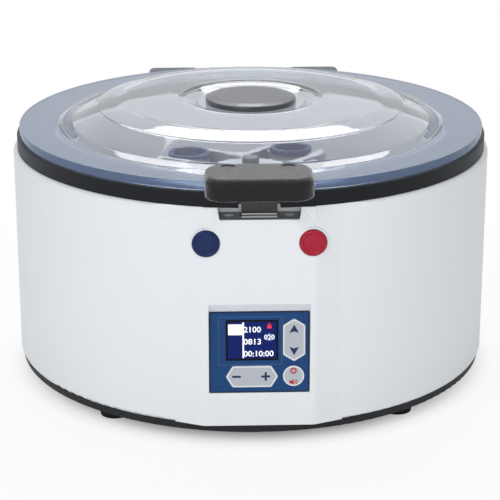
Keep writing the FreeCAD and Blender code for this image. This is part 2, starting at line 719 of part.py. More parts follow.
def rim():
    body = new_body("RimForm")
    bevel = size(0.8)
    flange = s.top_opening - 1.4
    turn(body, "Revolution", "XZ", [
        (s.rim_bore, shell_top + s.chamber_sheet + 0.1),
        (flange, shell_top + s.chamber_sheet + 0.1),
        (flange, shell_top),
        (s.rim_radius, shell_top),
        (s.rim_radius, rim_top - bevel),
        (s.rim_radius - bevel, rim_top),
        (gasket_end, rim_top),
        (gasket_end, rim_top - s.gasket_depth),
        (s.gasket_radius, rim_top - s.gasket_depth),
        (s.gasket_radius, rim_top),
        (s.rim_bore, rim_top, 2.0),
    ])
    # a shallow seat for the hook's flange, a full notch for its tongue and a seat for the hinge leaf
    beyond = s.rim_radius + 5.0
    above = (0, 0, rim_top + 1.0)
    seat_half, seat_in = s.hook_flange / 2 + 1.0, s.strike_back - 1.2
    seat_level = lid_bottom - s.hook_sheet - s.lid_gap
    pocket(body, "XY", [
        (-seat_half, -seat_in, 1.0), (seat_half, -seat_in, 1.0), (seat_half, -beyond), (-seat_half, -beyond),
    ], rim_top - seat_level + 1.0, above)
    half, notch_in = s.notch_half, s.hook_back - 3.2
    pocket(body, "XY", [(-half, -notch_in, 1.0), (half, -notch_in, 1.0), (half, -beyond), (-half, -beyond)],
           s.rim_height + 3.0, above)
    rear, rear_in = s.leaf_half + 2.0, leaf_inner - 1.6
    pocket(body, "XY", [(-rear, rear_in, 1.0), (rear, rear_in, 1.0), (rear, beyond), (-rear, beyond)],
           rim_top - leaf_low + 2.2, above)
    keep("rim_ring", body)
    gasket = turned_body("GasketForm", [
        (s.gasket_radius, rim_top - s.gasket_depth),
        (gasket_end, rim_top - s.gasket_depth),
        (gasket_end, lid_bottom - s.seat_gap, 1.2),
        (s.gasket_radius, lid_bottom - s.seat_gap, 1.2),
    ])
    keep("lid_gasket", gasket)


rim()


def bowl():
    """The chamber bowl in its three welded pieces: wall with flange, floor, and the hump over the motor."""
    sheet_t = s.chamber_sheet
    hump_level = floor_level + s.hump_height
    wall_seam = floor_level + s.floor_turn_up
    hump_seam = s.hump_foot + 6.0
    flange = s.top_opening - 1.5
    keep("chamber_wall", turned_body("WallForm", [
        (flange, shell_top + sheet_t),
        (s.chamber_radius, shell_top + sheet_t, 3.0),
        (s.chamber_radius, wall_seam),
        (s.chamber_radius + sheet_t, wall_seam),
        (s.chamber_radius + sheet_t, shell_top, 1.5),
        (flange, shell_top),
    ]))
    keep("chamber_floor", turned_body("FloorForm", [
        (s.chamber_radius, wall_seam),
        (s.chamber_radius, floor_level, 12.0),
        (hump_seam, floor_level),
        (hump_seam, floor_level - sheet_t),
        (s.chamber_radius + sheet_t, floor_level - sheet_t, 13.5),
        (s.chamber_radius + sheet_t, wall_seam),
    ]))
    keep("chamber_hump", turned_body("HumpForm", [
        (hump_seam, floor_level),
        (s.hump_foot, floor_level, 6.0),
        (s.hump_top, hump_level, 6.0),
        (s.shaft_hole, hump_level),
        (s.shaft_hole, hump_level - sheet_t),
        (s.hump_top - sheet_t, hump_level - sheet_t, 4.5),
        (s.hump_foot - sheet_t, floor_level - sheet_t, 7.5),
        (hump_seam, floor_level - sheet_t),
    ]))


bowl()

# Strike plate and lock


def lock():
    body = new_body("StrikeForm")
    pad(body, "XY", [
        (-s.strike_half_front, -s.face_depth), (s.strike_half_front, -s.face_depth),
        (s.strike_half_back, -s.strike_back), (-s.strike_half_back, -s.strike_back),
    ], s.strike_sheet, (0, 0, ledge_top - s.strike_sheet))
    slot_front = s.hook_back + s.hook_sheet + 2.0
    slot_back = s.hook_back - 1.2
    pocket(body, "XY", [
        (-(s.hook_width / 2 + 1.0), -slot_front, 1.0), (s.hook_width / 2 + 1.0, -slot_front, 1.0),
        (s.hook_width / 2 + 1.0, -slot_back, 1.0), (-(s.hook_width / 2 + 1.0), -slot_back, 1.0),
    ], 5.0, (0, 0, ledge_top + 1.0))
    keep("strike_plate", carve(body, strike_screws, name="strike_plate"))

    half = s.hook_width / 2 + 5.5
    top = ledge_top - 4.0
    front, back = face_inside - 0.4, s.hook_back - 21.2
    low = lid_bottom - s.hook_depth - 6.0
    box = block((-half, -front, low), (half, -back, top))
    inside = block((-(half - 2.0), -(front - 2.0), low + 2.0), (half - 2.0, -(back + 2.0), top + 1.0))
    keep("lock_housing", carve(box, inside, name="lock_housing"))
    bolt_level = lid_bottom - s.hook_depth + 6.5
    bolt_tip = s.hook_back - 1.7
    bolt = rod(s.bolt_radius, s.bolt_length, (0, -bolt_tip, bolt_level), "Y", "BoltForm")
    keep("lock_bolt", bolt)
    coil = block((-12.0, -(bolt_tip - 2.5), low + 2.0), (12.0, -(back + 2.0), bolt_level + 8.5))
    bore = rod(s.bolt_radius + s.slide_gap, 40.0, (0, -(bolt_tip + 2.0), bolt_level), "Y")
    keep("lock_solenoid", carve(coil, bore, name="lock_solenoid"))


lock()

# Buttons


def buttons():
    back = backing
    holders = []
    for node, side in (("open_button", -1), ("start_stop_button", 1)):
        body = new_body(node + "_form")
        r = s.button_radius
        front = s.face_depth
        stem = back - s.seat_gap - 1.5 - 5.5
        # a domed cap with a raised edge, a flange behind the wall and a stem
        turn(body, "Revolution", "XY", [
            (0, -(front + 1.7)),
            (r - 3.6, -(front + 1.3), 3.0),
            (r - 1.8, -(front + 2.3), 1.2),
            (r, -(front + 1.2), 1.0),
            (r, -(back - s.seat_gap)),
            (r + 1.3, -(back - s.seat_gap)),
            (r + 1.3, -(back - s.seat_gap - 1.5)),
            (3.5, -(back - s.seat_gap - 1.5)),
            (3.5, -stem),
            (0, -stem),
        ], (s.button_x * side, 0, button_level))
        keep(node, body)
        holder = new_body(node + "_switch")
        rear = stem - s.button_travel - 1.5
        turn(holder, "Revolution", "XY", [
            (r + 1.6, -back), (r + 3.6, -back), (r + 3.6, -(rear - 3.0), 1.5), (0, -(rear - 3.0)),
            (0, -rear), (r + 1.6, -rear),
        ], (s.button_x * side, 0, button_level))
        holders.append(holder)
    keep("button_switches", join(*holders, name="button_switches"))


buttons()

# Control panel, built upright in its own frame and then leaned back

LEAN = math.degrees(math.asin(s.panel_set_back.value / s.panel_height.value))


def lean(body):
    """Stand a panel piece on the panel's lower front edge and lean it back."""
    place(body, (0, -s.face_depth, panel_bottom))
    tilt = FreeCAD.Rotation(FreeCAD.Vector(-1, 0, 0), LEAN)
    body.Placement = FreeCAD.Placement(body.Placement.Base, tilt)
    body.setExpression("Placement.Rotation.Angle", "asin(Sizes.panel_set_back / Sizes.panel_height)")


def rectangle(left, right, low, high, radius):
    return [(left, low, radius), (right, low, radius), (right, high, radius), (left, high, radius)]


def upright_key(centre, middle, half_width, half_height):
    """An elongated hexagon with its points up and down."""
    edge = half_height - half_width * 0.62
    return [
        (centre, middle - half_height, 1.5), (centre + half_width, middle - edge, 1.5),
        (centre + half_width, middle + edge, 1.5), (centre, middle + half_height, 1.5),
        (centre - half_width, middle + edge, 1.5), (centre - half_width, middle - edge, 1.5),
    ]


def level_key(centre, middle, half_width, half_height):
    """An elongated hexagon with its points left and right."""
    edge = half_width - half_height * 0.62
    return [
        (centre - half_width, middle, 1.5), (centre - edge, middle - half_height, 1.5),
        (centre + edge, middle - half_height, 1.5), (centre + half_width, middle, 1.5),
        (centre + edge, middle + half_height, 1.5), (centre - edge, middle + half_height, 1.5),
    ]


def panel():
    centre = s.panel_height / 2
    half = s.panel_width / 2
    screen_left = size(-27.6)
    screen_low = centre - 7.0
    # each key: its middle across and up, half width and half height
    upright = (size(28.7), centre + 10.35, size(9.2), size(18.45))
    flat = (size(-6.15), centre - 20.9, size(21.8), size(9.25))
    keys = {"up_down_key": upright_key(*upright), "minus_plus_key": level_key(*flat)}
    gap = s.key_gap
    holes = {
        "up_down_key": upright_key(upright[0], upright[1], upright[2] + gap, upright[3] + gap),
        "minus_plus_key": level_key(flat[0], flat[1], flat[2] + gap, flat[3] + gap),
    }
    round_key = (28.3, centre - 20.7, size(8.8))
    fascia = new_body("FasciaForm")
    pad(fascia, "XZ", rectangle(-half, half, 0, s.panel_height, 2.0), s.panel_sheet, back=True)
    through = s.panel_sheet + 2.0
    start = (0, 0, 1.0)
    screen_right, screen_high = screen_left + s.screen_width, screen_low + s.screen_height
    slack = 0.15
    pocket(fascia, "XZ", rectangle(screen_left - slack, screen_right + slack, screen_low - slack,
                                   screen_high + slack, 0.4), through, start)
    for outline in holes.values():
        pocket(fascia, "XZ", outline, through, start)
    pocket(fascia, "XZ", (), through, start, [(round_key[0], round_key[1], round_key[2] + gap)])
    keep("panel_fascia", fascia)
    for node, outline in keys.items():
        key = new_body(node + "_form")
        pad(key, "XZ", outline, s.key_proud + s.key_body, (0, 0, s.key_proud), back=True)
        keep(node, key)
    key = new_body("settings_key_form")
    pad(key, "XZ", (), s.key_proud + s.key_body, (0, 0, s.key_proud), [round_key], back=True)
    keep("settings_key", key)
    screen = new_body("ScreenForm")
    pad(screen, "XZ", rectangle(screen_left, screen_right, screen_low, screen_high, 0.3),
        s.panel_sheet - 0.3, (0, 0, -0.3), back=True)
    keep("display_module", screen)
    board = new_body("KeyBoardForm")
    pad(board, "XZ", rectangle(-(half - 4.3), half - 4.3, 3.4, s.panel_height - 3.4, 1.0), s.board_sheet,
        (0, 0, -s.panel_sheet), back=True)
    keep("keypad_board", board)
    for thing in (fascia, screen, board, key, pieces["up_down_key"], pieces["minus_plus_key"]):
        lean(thing)


panel()

# Electrics


def upright_block(across, up, half_width, half_height, start, end):
    """A box about (across, up), from start to end along +Y."""
    return block((across - half_width, start, up - half_height), (across + half_width, end, up + half_height))


def electrics():
    front, board_half = backing - 4.0, size(52.0)
    low, high = panel_bottom - 3.0, panel_top + 9.0
    back = front - s.board_sheet
    parts = [block((-board_half, -front, low), (board_half, -back, high))]
    # each component: left edge, lower edge, width, depth, height
    components = (
        (-30.0, 10.0, 24.0, 12.0, 26.0),
        (8.0, 14.0, 16.0, 9.0, 16.0),
        (32.0, 42.0, 12.0, 10.0, 20.0),
    )
    for x, z, wide, deep, tall in components:
        parts.append(block((x, -back, low + z), (x + wide, -(back - deep), low + z + tall)))
    for x in (-8.0, 6.0):
        parts.append(rod(5.0, 12.0, (x, -back, low + 62.0), "Y"))
    keep("control_board", join(*parts, name="control_board"))

    supply = new_body("SupplyForm")
    supply_half, supply_in, supply_out = size(50.0), s.motor_plate_radius + 12.0, s.chamber_radius - 13.0
    pad(supply, "XY", rectangle(supply_in, supply_out, -supply_half, supply_half, 3.0), 33.0, (0, 0, pan_top))
    keep("power_supply", supply)

    flat, across, up = s.rear_depth, s.inlet_x, s.inlet_level
    flange = upright_block(across, up, 16.5, 14.5, flat, flat + 2.0)
    shaft = upright_block(across, up, 15.0, 13.0, flat - 22.0, flat)
    well = upright_block(across, up, 12.0, 8.2, flat - 16.0, flat + 3.0)
    pins = [upright_block(across + x, up + z, 1.0, 2.0, flat - 16.5, flat - 6.0)
            for x, z in ((-7.0, -2.0), (7.0, -2.0), (0.0, 2.0))]
    keep("mains_inlet", join(carve(join(flange, shaft), well), *pins, name="mains_inlet"))

    across = s.switch_x
    frame = join(upright_block(across, up, 11.5, 14.5, flat, flat + 1.5),
                 upright_block(across, up, 10.0, 13.0, flat - 15.0, flat))
    opening = upright_block(across, up, 7.2, 10.0, flat - 13.0, flat + 3.0)
    mid, pivot = flat - 4.0, size(1.5)
    pins = rod(pivot, 20.0, (across - 10.0, mid, up), "X")
    keep("power_switch_frame", join(carve(frame, opening), pins, name="power_switch_frame"))
    # the rocker stands tilted, with its lower half pressed in
    rocker = new_body("RockerForm")
    pad(rocker, "YZ", [
        (mid - 5.5, up - 3.0), (mid + 2.5, up - 9.4, 0.6), (mid + 3.9, up, 4.0),
        (mid + 5.8, up + 8.4, 0.6), (mid - 3.0, up + 7.5), (mid - 5.5, up + 3.0),
    ], 14.0, (0, 0, across), both=True)
    pocket(rocker, "YZ", (), 30.0, (0, 0, 0), [(mid, up, pivot + s.running_gap)], back=True)
    keep("power_switch_rocker", rocker)


electrics()

# Hinge


def hinge():
    radius = s.rim_radius + 0.7
    body = new_body("BracketForm")
    bottom = shell_top - 10.0
    top = hinge_level + s.knuckle_radius
    pad(body, "XY", [
        (-s.hinge_half, s.top_opening), (s.hinge_half, s.top_opening),
        (s.hinge_half, s.hinge_depth, 7.0), (-s.hinge_half, s.hinge_depth, 7.0),
    ], top - bottom, (0, 0, bottom))
    soften(body, 4.0, lambda edge: level(edge, top) and edge.BoundBox.YMax > leaf_inner.value)
    pocket(body, "XY", (), top - shell_top + 1.0, (0, 0, top + 1.0), [(0, 0, radius)])
    pocket(body, "XY", (), 20.0, (0, 0, shell_top), [(0, 0, s.housing_radius + 0.05)])
    mid, beyond = s.leaf_half + s.leaf_gap, s.hinge_depth + 5.0
    pocket(body, "XY", [(-mid, s.dome_foot), (mid, s.dome_foot), (mid, beyond), (-mid, beyond)],
           top - (hinge_level - s.knuckle_radius - 0.6) + 1.0, (0, 0, top + 1.0))
    pin_half = s.hinge_half - 3.0
    pin = rod(s.hinge_pin_radius, pin_half * 2, (-pin_half, s.hinge_axis_y, hinge_level), "X")
    keep("hinge_pin", pin)
    keep("hinge_bracket", carve(body, pin, hinge_screws, name="hinge_bracket"))
    plate = block((-s.leaf_half, leaf_inner, leaf_low), (s.leaf_half, s.hinge_axis_y, lid_bottom))
    knuckle = rod(s.knuckle_radius - 0.3, s.leaf_half * 2,
                  (-s.leaf_half, s.hinge_axis_y, hinge_level), "X")
    bore = rod(s.hinge_pin_radius + s.running_gap, s.leaf_half * 2 + 2.0,
               (-(s.leaf_half + 1.0), s.hinge_axis_y, hinge_level), "X")
    # the knuckle is cut level with the underside of the lid where the lid lies over it
    keep("hinge_leaf", carve(join(plate, knuckle), bore, leaf_screws, name="hinge_leaf"))


hinge()

# Lid


def lid():
    wall = s.dome_wall
    step = dome_top - 5.0
    slope = (step - lid_top - 2.0) / (s.dome_foot - 7.0 - s.dome_shoulder)
    pane = turned_body("PaneForm", [
        (s.cap_stem, dish_level),
        (s.dish_floor, dish_level, 5.0),
        (s.dish_rim, dome_top, 5.0),
        (s.dome_brow, dome_top - 0.2, 30.0),
        (s.dome_shoulder, step, 10.0),
        (s.dome_foot - 7.0, lid_top + 2.0, 6.0),
        (s.dome_foot + 2.0, lid_top, 8.0),
        (s.pane_radius, lid_top, 0.8),
        (s.pane_radius, lid_bottom, 0.8),
        (s.dome_foot - 4.0, lid_bottom, 2.0),
        (s.dome_foot - 12.0, lid_bottom + s.pane_thickness, 6.0),
        (s.dome_shoulder - 1.5, step - wall + 0.4, 6.0),
        (s.dome_brow - 1.0, dome_top - wall - 0.2, 26.0),
        (s.dish_rim - 1.5, dome_top - wall, 4.0),
        (s.dish_floor - 1.5, dish_level - wall, 5.0),
        (s.cap_stem, dish_level - wall),
    ])
    keep("lid_pane", carve(pane, handle_screws, hook_screws, leaf_screws, name="lid_pane"))
    cap_top = dish_level + s.cap_height
    cap = turned_body("CapForm", [
        (0, cap_top),
        (s.cap_radius - 9.0, cap_top, 20.0),
        (s.cap_radius, cap_top - 1.6, 2.0),
        (s.cap_radius, dish_level, 0.6),
        (s.cap_stem, dish_level),
        (s.cap_stem, dish_level - wall),
        (s.cap_stem + 5.0, dish_level - wall),
        (s.cap_stem + 5.0, dish_level - wall - 2.0, 0.8),
        (0, dish_level - wall - 2.0),
    ])
    keep("lid_cap", cap)

    handle = new_body("HandleForm")
    half = s.handle_width / 2
    low, top = lid_bottom - s.handle_drop, lid_top + s.handle_rise
    outline = rectangle(-half, half, -s.handle_front, -s.handle_back, s.handle_corner)
    pad(handle, "XY", outline, top - low, (0, 0, low))
    soften(handle, s.handle_round, lambda edge: level(edge, top))
    soften(handle, 2.0, lambda edge: level(edge, low))
    pocket(handle, "XY", (), lid_top - low + 5.0, (0, 0, lid_top), [(0, 0, s.pane_radius)])
    pocket(handle, "XY", (), lid_bottom - low + 5.0, (0, 0, lid_bottom), [(0, 0, s.rim_radius + 0.8)])
    pocket(handle, "XY", (), s.handle_sink, (0, 0, top),
           [(s.handle_screw_x * i, -s.handle_screw_y, 6.0) for i in (1, -1)])
    keep("lid_handle", carve(handle, handle_screws, pane, name="lid_handle"))

    back = s.hook_back
    flange = block((-s.hook_flange / 2, -(back + s.hook_sheet), lid_bottom - s.hook_sheet),
                   (s.hook_flange / 2, -(s.strike_back + 0.4), lid_bottom))
    tongue = block((-s.hook_width / 2, -(back + s.hook_sheet), lid_bottom - s.hook_depth),
                   (s.hook_width / 2, -back, lid_bottom))
    window = rod(s.bolt_radius + 0.8, 10.0, (0, -(back + 5.0), lid_bottom - s.hook_depth + 6.5), "Y")
    keep("lid_hook", carve(join(flange, tongue), window, hook_screws, name="lid_hook"))


lid()

# Motor


def motor():
    level_0 = mount_level
    plate_top = level_0 + s.motor_plate_sheet
    mounts = [rod(s.mount_radius, s.mount_height, (x, y, pan_top)) for x, y in MOUNT_PLACES]
    keep("vibration_mounts", carve(join(*mounts), mount_screws, name="vibration_mounts"))
    lower = plate_top + 3.0
    seat = s.bearing_radius
    plate = turned_body("MotorPlateForm", [
        (s.shaft_radius + 1.5, level_0), (s.motor_plate_radius, level_0, 1.0),
        (s.motor_plate_radius, plate_top, 1.0), (seat + 4.0, plate_top),
        (seat + 4.0, lower + s.bearing_width), (seat, lower + s.bearing_width),
        (seat, lower), (s.shaft_radius + 1.5, lower),
    ])
    keep("motor_plate", carve(plate, mount_screws, name="motor_plate"))
    top = plate_top + s.motor_height
    inner = s.motor_radius - s.motor_wall
    upper = top - s.motor_wall
    race_top = upper + s.bearing_width
    shell = turned_body("MotorForm", [
        (s.motor_radius, plate_top), (s.motor_radius, top, 5.0), (seat + 3.0, top),
        (seat + 3.0, race_top + 1.5), (seat - 4.0, race_top + 1.5), (seat - 4.0, race_top),
        (seat, race_top), (seat, upper), (inner, upper, 2.0), (inner, plate_top),
    ])
    keep("motor_housing", shell)
    coil_low, coil_high = lower + s.bearing_width + 6.0, upper - 6.0
    bore = size(22.0)
    keep("motor_stator", turned_body("StatorForm", [
        (bore, coil_low), (inner, coil_low), (inner, coil_high), (bore, coil_high)]))
    magnet_low, magnet_high, magnet_radius = coil_low - 2.0, coil_high + 2.0, bore - s.air_gap
    keep("magnet_rotor", turned_body("MagnetForm", [
        (s.shaft_radius, magnet_low), (magnet_radius, magnet_low), (magnet_radius, magnet_high),
        (s.shaft_radius, magnet_high)]))
    outer, races = [], []
    for i, low in enumerate((lower, upper)):
        high = low + s.bearing_width
        outer.append(turned_body(f"OuterRace{i}", [
            (s.race_radius + 0.1, low), (seat, low), (seat, high), (s.race_radius + 0.1, high)]))
        races.append(turned_body(f"InnerRace{i}", [
            (s.shaft_radius, low), (s.race_radius, low), (s.race_radius, high), (s.shaft_radius, high)]))
    keep("bearing_outer_races", join(*outer, name="bearing_outer_races"))
    keep("bearing_inner_races", join(*races, name="bearing_inner_races"))
    prong_top = pivot_level + s.yoke_thickness / 2
    cone_low = prong_top - s.yoke_thickness - s.hub_drop
    thread_top = prong_top + s.nut_height - 2.0
    keep("drive_shaft", turned_body("ShaftForm", [
        (0, lower - 1.0), (s.shaft_radius, lower - 1.0), (s.shaft_radius, cone_low),
        (s.shaft_nose, prong_top), (s.thread_radius, prong_top), (s.thread_radius, thread_top),
        (0, thread_top)]))


motor()

# Rotor: yoke with four forks, trunnion pins, nut


def place_round(thing, number):
    """Turn a piece of the rotor to where it rests, and on by a quarter turn times its number."""
    angle = s.rotor_turn + 90.0 * number
    upwards = FreeCAD.Vector(0, 0, 1)
    thing.Placement = FreeCAD.Placement(FreeCAD.Vector(), FreeCAD.Rotation(upwards, angle.value))
    bind(thing, "Placement.Rotation.Angle", angle)


def rotor():
    top = pivot_level + s.yoke_thickness / 2
    low = top - s.yoke_thickness
    inner, outer = s.fork_half, s.fork_half + s.prong_width
    reach = s.prong_reach
    yoke = new_body("YokeForm")
    # one fork: two prongs that meet at the corner between two buckets
    pad(yoke, "XY", [
        (inner - 7.0, inner - 7.0), (inner + 4.0, inner, 6.0), (reach, inner, 2.5), (reach, outer, 2.5),
        (outer, outer, 12.0), (outer, reach, 2.5), (inner, reach, 2.5), (inner, inner + 4.0, 6.0),
    ], s.yoke_thickness, (0, 0, low))
    web_low = pivot_level - s.yoke_web / 2
    pad(yoke, "XY", [
        (outer - 3.0, outer - 3.0), (outer + 26.0, outer - 3.0), (outer + 26.0, outer + 4.0, 6.0),
        (outer + 4.0, outer + 26.0, 6.0), (outer - 3.0, outer + 26.0),
    ], s.yoke_web, (0, 0, web_low))
    features = yoke.Group
    pattern = yoke.newObject("PartDesign::PolarPattern", "Forks")
    pattern.Originals = [item for item in features if item.TypeId == "PartDesign::Pad"]
    pattern.Axis = ([item for item in yoke.Origin.OriginFeatures if item.Role == "Z_Axis"][0], [""])
    pattern.Angle = 360
    pattern.Occurrences = 4
    yoke.Tip = pattern
    hub = s.fork_half + 7.0
    pad(yoke, "XY", (), s.yoke_thickness, (0, 0, low), [(0, 0, hub)])
    pad(yoke, "XY", (), s.hub_drop + 1.0, (0, 0, low - s.hub_drop), [(0, 0, s.hub_radius)])
    pins = []
    length = outer - s.pin_tip
    for side in (1, -1):
        for end in (1, -1):
            start = s.pin_tip if end > 0 else -outer
            pins.append(rod(s.pin_radius, length, (s.pivot_radius * side, start, pivot_level), "Y"))
            pins.append(rod(s.pin_radius, length, (start, s.pivot_radius * side, pivot_level), "X"))
    pins = keep("trunnion_pins", join(*pins, name="trunnion_pins"))
    place_round(pins, 0)
    place_round(yoke, 0)
    keep("rotor_yoke", carve(yoke, pins, pieces["drive_shaft"], name="rotor_yoke"))
    nut = new_body("NutForm")
    turn(nut, "Revolution", "XZ", [
        (0, top), (s.nut_radius, top, 0.6), (s.nut_radius, top + s.nut_height, 2.5), (0, top + s.nut_height)])
    keep("rotor_nut", carve(nut, pieces["drive_shaft"], name="rotor_nut"))


rotor()


def bucket(number):
    """A hanging cup with two grooved trunnion blocks and a coloured collar, in its quarter of the rotor."""
    bottom, top = pivot_level - s.bucket_below, pivot_level + s.bucket_above
    inside = s.bucket_radius - s.bucket_wall
    cup = new_body(f"CupForm{number}")
    middle = (s.pivot_radius, 0, 0)
    pad(cup, "XY", [
        (-9.0, -s.trunnion_half, 3.0), (9.0, -s.trunnion_half, 3.0), (9.0, s.trunnion_half, 3.0),
        (-9.0, s.trunnion_half, 3.0)], 16.0, (s.pivot_radius, 0, top - 16.0))
    turn(cup, "Revolution", "XZ", [
        (0, bottom), (s.bucket_radius, bottom, 5.0), (s.bucket_radius, top), (0, top)], middle)
    depth = top - bottom - s.bucket_floor + 1.0
    pocket(cup, "XY", (), depth, (s.pivot_radius, 0, top + 1.0), [(0, 0, inside)])
    groove = s.pin_radius + s.running_gap
    for side in (1, -1):
        shift = s.trunnion_half - s.bucket_radius + 1.0
        start = (s.trunnion_half + 1.0) * side
        pocket(cup, "XZ", [
            (s.pivot_radius - groove, pivot_level - 20.0), (s.pivot_radius + groove, pivot_level - 20.0),
            (s.pivot_radius + groove, pivot_level), (s.pivot_radius - groove, pivot_level)],
            shift, (0, 0, -start), back=side > 0)
        pocket(cup, "XZ", (), shift, (0, 0, -start), [(s.pivot_radius, pivot_level, groove)], back=side > 0)
    place_round(cup, number)
    keep(f"bucket_{number + 1}", cup)
    collar = new_body(f"CollarForm{number}")
    turn(collar, "Revolution", "XZ", [
        (s.collar_bore, top - s.collar_sleeve), (inside, top - s.collar_sleeve), (inside, top),
        (s.collar_radius, top, 0.6), (s.collar_radius, top + s.collar_height, 1.5),
        (s.collar_bore, top + s.collar_height, 0.8)], middle)
    place_round(collar, number)
    keep(f"bucket_collar_{number + 1}", collar)


for number in range(4):
    bucket(number)

doc.recompute()

# Nothing is written unless every object and every sub-part is sound
for item in doc.Objects:
    if any(word in ("Invalid", "Error") for word in item.State):
        raise RuntimeError(f"{item.Label} ({item.TypeId}) failed: {item.State} {item.getStatusString()}")
for node, item in pieces.items():
    if item.Shape.isNull() or not item.Shape.isValid() or not item.Shape.Solids:
        raise RuntimeError(f"{node} has no valid shape")

os.makedirs("parts", exist_ok=True)
for node, item in pieces.items():
    item.Shape.exportStep(f"parts/{node}.step")
    box = item.Shape.BoundBox
    volume = item.Shape.Volume / 1000
    print(f"{node:22s} solids {len(item.Shape.Solids)} volume {volume:9.2f} cm3  "
          f"x {box.XMin:7.1f} {box.XMax:7.1f}  y {box.YMin:7.1f} {box.YMax:7.1f}  "
          f"z {box.ZMin:7.1f} {box.ZMax:7.1f}")
print(len(pieces), "sub-parts")
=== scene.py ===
# %% [markdown]
# # A benchtop centrifuge in a white studio
#
# The construction is finished: every shell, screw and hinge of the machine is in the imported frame, at its
# real size in metres. This lesson gives each of those pieces its finish, and replaces the few whose look
# depends on a very smooth surface. The frame is loaded first, because every new piece is placed from it.

# %% Load the frame
import math

import bmesh
import bpy
import numpy as np
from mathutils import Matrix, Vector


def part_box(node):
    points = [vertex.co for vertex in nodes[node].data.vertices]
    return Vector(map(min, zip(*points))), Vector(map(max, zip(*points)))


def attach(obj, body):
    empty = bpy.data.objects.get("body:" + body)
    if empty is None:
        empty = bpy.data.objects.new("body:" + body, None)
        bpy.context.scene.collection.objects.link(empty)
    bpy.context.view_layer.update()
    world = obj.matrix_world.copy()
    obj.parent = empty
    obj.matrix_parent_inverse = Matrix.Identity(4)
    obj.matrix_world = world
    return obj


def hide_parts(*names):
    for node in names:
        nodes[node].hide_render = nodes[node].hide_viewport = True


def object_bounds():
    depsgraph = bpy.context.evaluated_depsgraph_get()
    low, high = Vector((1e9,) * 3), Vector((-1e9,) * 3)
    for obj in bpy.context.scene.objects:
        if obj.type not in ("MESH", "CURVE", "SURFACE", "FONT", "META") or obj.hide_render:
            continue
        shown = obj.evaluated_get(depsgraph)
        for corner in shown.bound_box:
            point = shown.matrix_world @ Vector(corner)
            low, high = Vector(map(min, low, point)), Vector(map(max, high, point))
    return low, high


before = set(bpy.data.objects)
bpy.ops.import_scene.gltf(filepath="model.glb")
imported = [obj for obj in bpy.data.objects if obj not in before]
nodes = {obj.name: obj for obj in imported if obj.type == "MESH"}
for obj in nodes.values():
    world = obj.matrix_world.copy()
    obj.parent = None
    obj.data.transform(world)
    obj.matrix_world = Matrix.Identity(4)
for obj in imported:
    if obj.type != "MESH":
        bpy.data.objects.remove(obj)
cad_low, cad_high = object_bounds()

MM = 0.001
print("the machine measures", [round((b - a) / MM, 1) for a, b in zip(cad_low, cad_high)], "mm")

# %% [markdown]
# ## Helpers for surfaces
#
# A turned piece, such as a lid or a push button, is one profile carried round an axis. The profile is written
# as a machinist would write it, by its corners and their rounding radii, and numpy works out all points at
# once. Writing the points by hand would be longer and rougher, and a subdivided cube would lose the radii.

# %% Profiles and grids


def rounded(corners, closed=True, step=6.0):
    """The line through corners (across, up[, radius]) in mm, with an arc at each corner that gives a radius.

    At a corner where the line turns by t, the arc touches the line radius * tan(t / 2) before and after it.
    """
    spots = np.array([corner[:2] for corner in corners], float)
    found = []
    for i, corner in enumerate(corners):
        inner = closed or 0 < i < len(corners) - 1
        if len(corner) < 3 or not inner:
            found.append(spots[i][None])
            continue
        back = spots[i - 1] - spots[i]
        onward = spots[(i + 1) % len(corners)] - spots[i]
        back = back / np.linalg.norm(back)
        onward = onward / np.linalg.norm(onward)
        half = math.acos(np.clip(back @ onward, -1, 1)) / 2
        middle = (back + onward) / np.linalg.norm(back + onward)
        centre = spots[i] + middle * corner[2] / math.sin(half)
        first = spots[i] + back * corner[2] / math.tan(half) - centre
        last = spots[i] + onward * corner[2] / math.tan(half) - centre
        sweep = math.atan2(first[0] * last[1] - first[1] * last[0], first @ last)
        count = max(3, int(abs(math.degrees(sweep)) / step) + 2)
        angle = np.linspace(0, sweep, count)[:, None]
        side = np.array([-first[1], first[0]])
        found.append(centre + first * np.cos(angle) + side * np.sin(angle))
    return np.concatenate(found)


def finer(line, longest, closed=True):
    """The same line with its long straight runs divided, so that no step is longer than longest (mm)."""
    after = np.roll(line, -1, axis=0) if closed else line[1:]
    before = line if closed else line[:-1]
    found = []
    for start, end in zip(before, after):
        count = max(1, math.ceil(np.linalg.norm(end - start) / longest))
        share = np.arange(count)[:, None] / count
        found.append(start + (end - start) * share)
    if not closed:
        found.append(line[-1][None])
    return np.concatenate(found)


def grid_faces(rows, columns, wrap_rows=False):
    """The quads between neighbouring rows and columns of a grid of points. Each row closes on itself."""
    starts = np.arange(rows if wrap_rows else rows - 1)
    row, column = np.meshgrid(starts, np.arange(columns), indexing="ij")
    next_row, next_column = (row + 1) % rows, (column + 1) % columns
    corners = [row * columns + column, row * columns + next_column,
               next_row * columns + next_column, next_row * columns + column]
    return np.stack(corners, axis=-1).reshape(-1, 4)


SHARP_ABOVE = 40.0
SAME_POINT = 1e-7


def new_piece(name, points, faces, materials, body):
    """Put points (in mm) and faces into a mesh that sits at the origin, and let it ride on a body.

    Points closer than SAME_POINT metres become one. Edges above SHARP_ABOVE degrees stay sharp.
    """
    mesh = bpy.data.meshes.new(name)
    mesh.from_pydata((np.asarray(points) * MM).tolist(), [], [list(face) for face in faces])
    work = bmesh.new()
    work.from_mesh(mesh)
    bmesh.ops.remove_doubles(work, verts=work.verts, dist=SAME_POINT)
    bmesh.ops.recalc_face_normals(work, faces=work.faces)
    work.to_mesh(mesh)
    work.free()
    mesh.polygons.foreach_set("use_smooth", np.ones(len(mesh.polygons), bool))
    mesh.set_sharp_from_angle(angle=math.radians(SHARP_ABOVE))
    for material in materials:
        mesh.materials.append(material)
    piece = bpy.data.objects.new(name, mesh)
    bpy.context.scene.collection.objects.link(piece)
    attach(piece, body)
    return piece


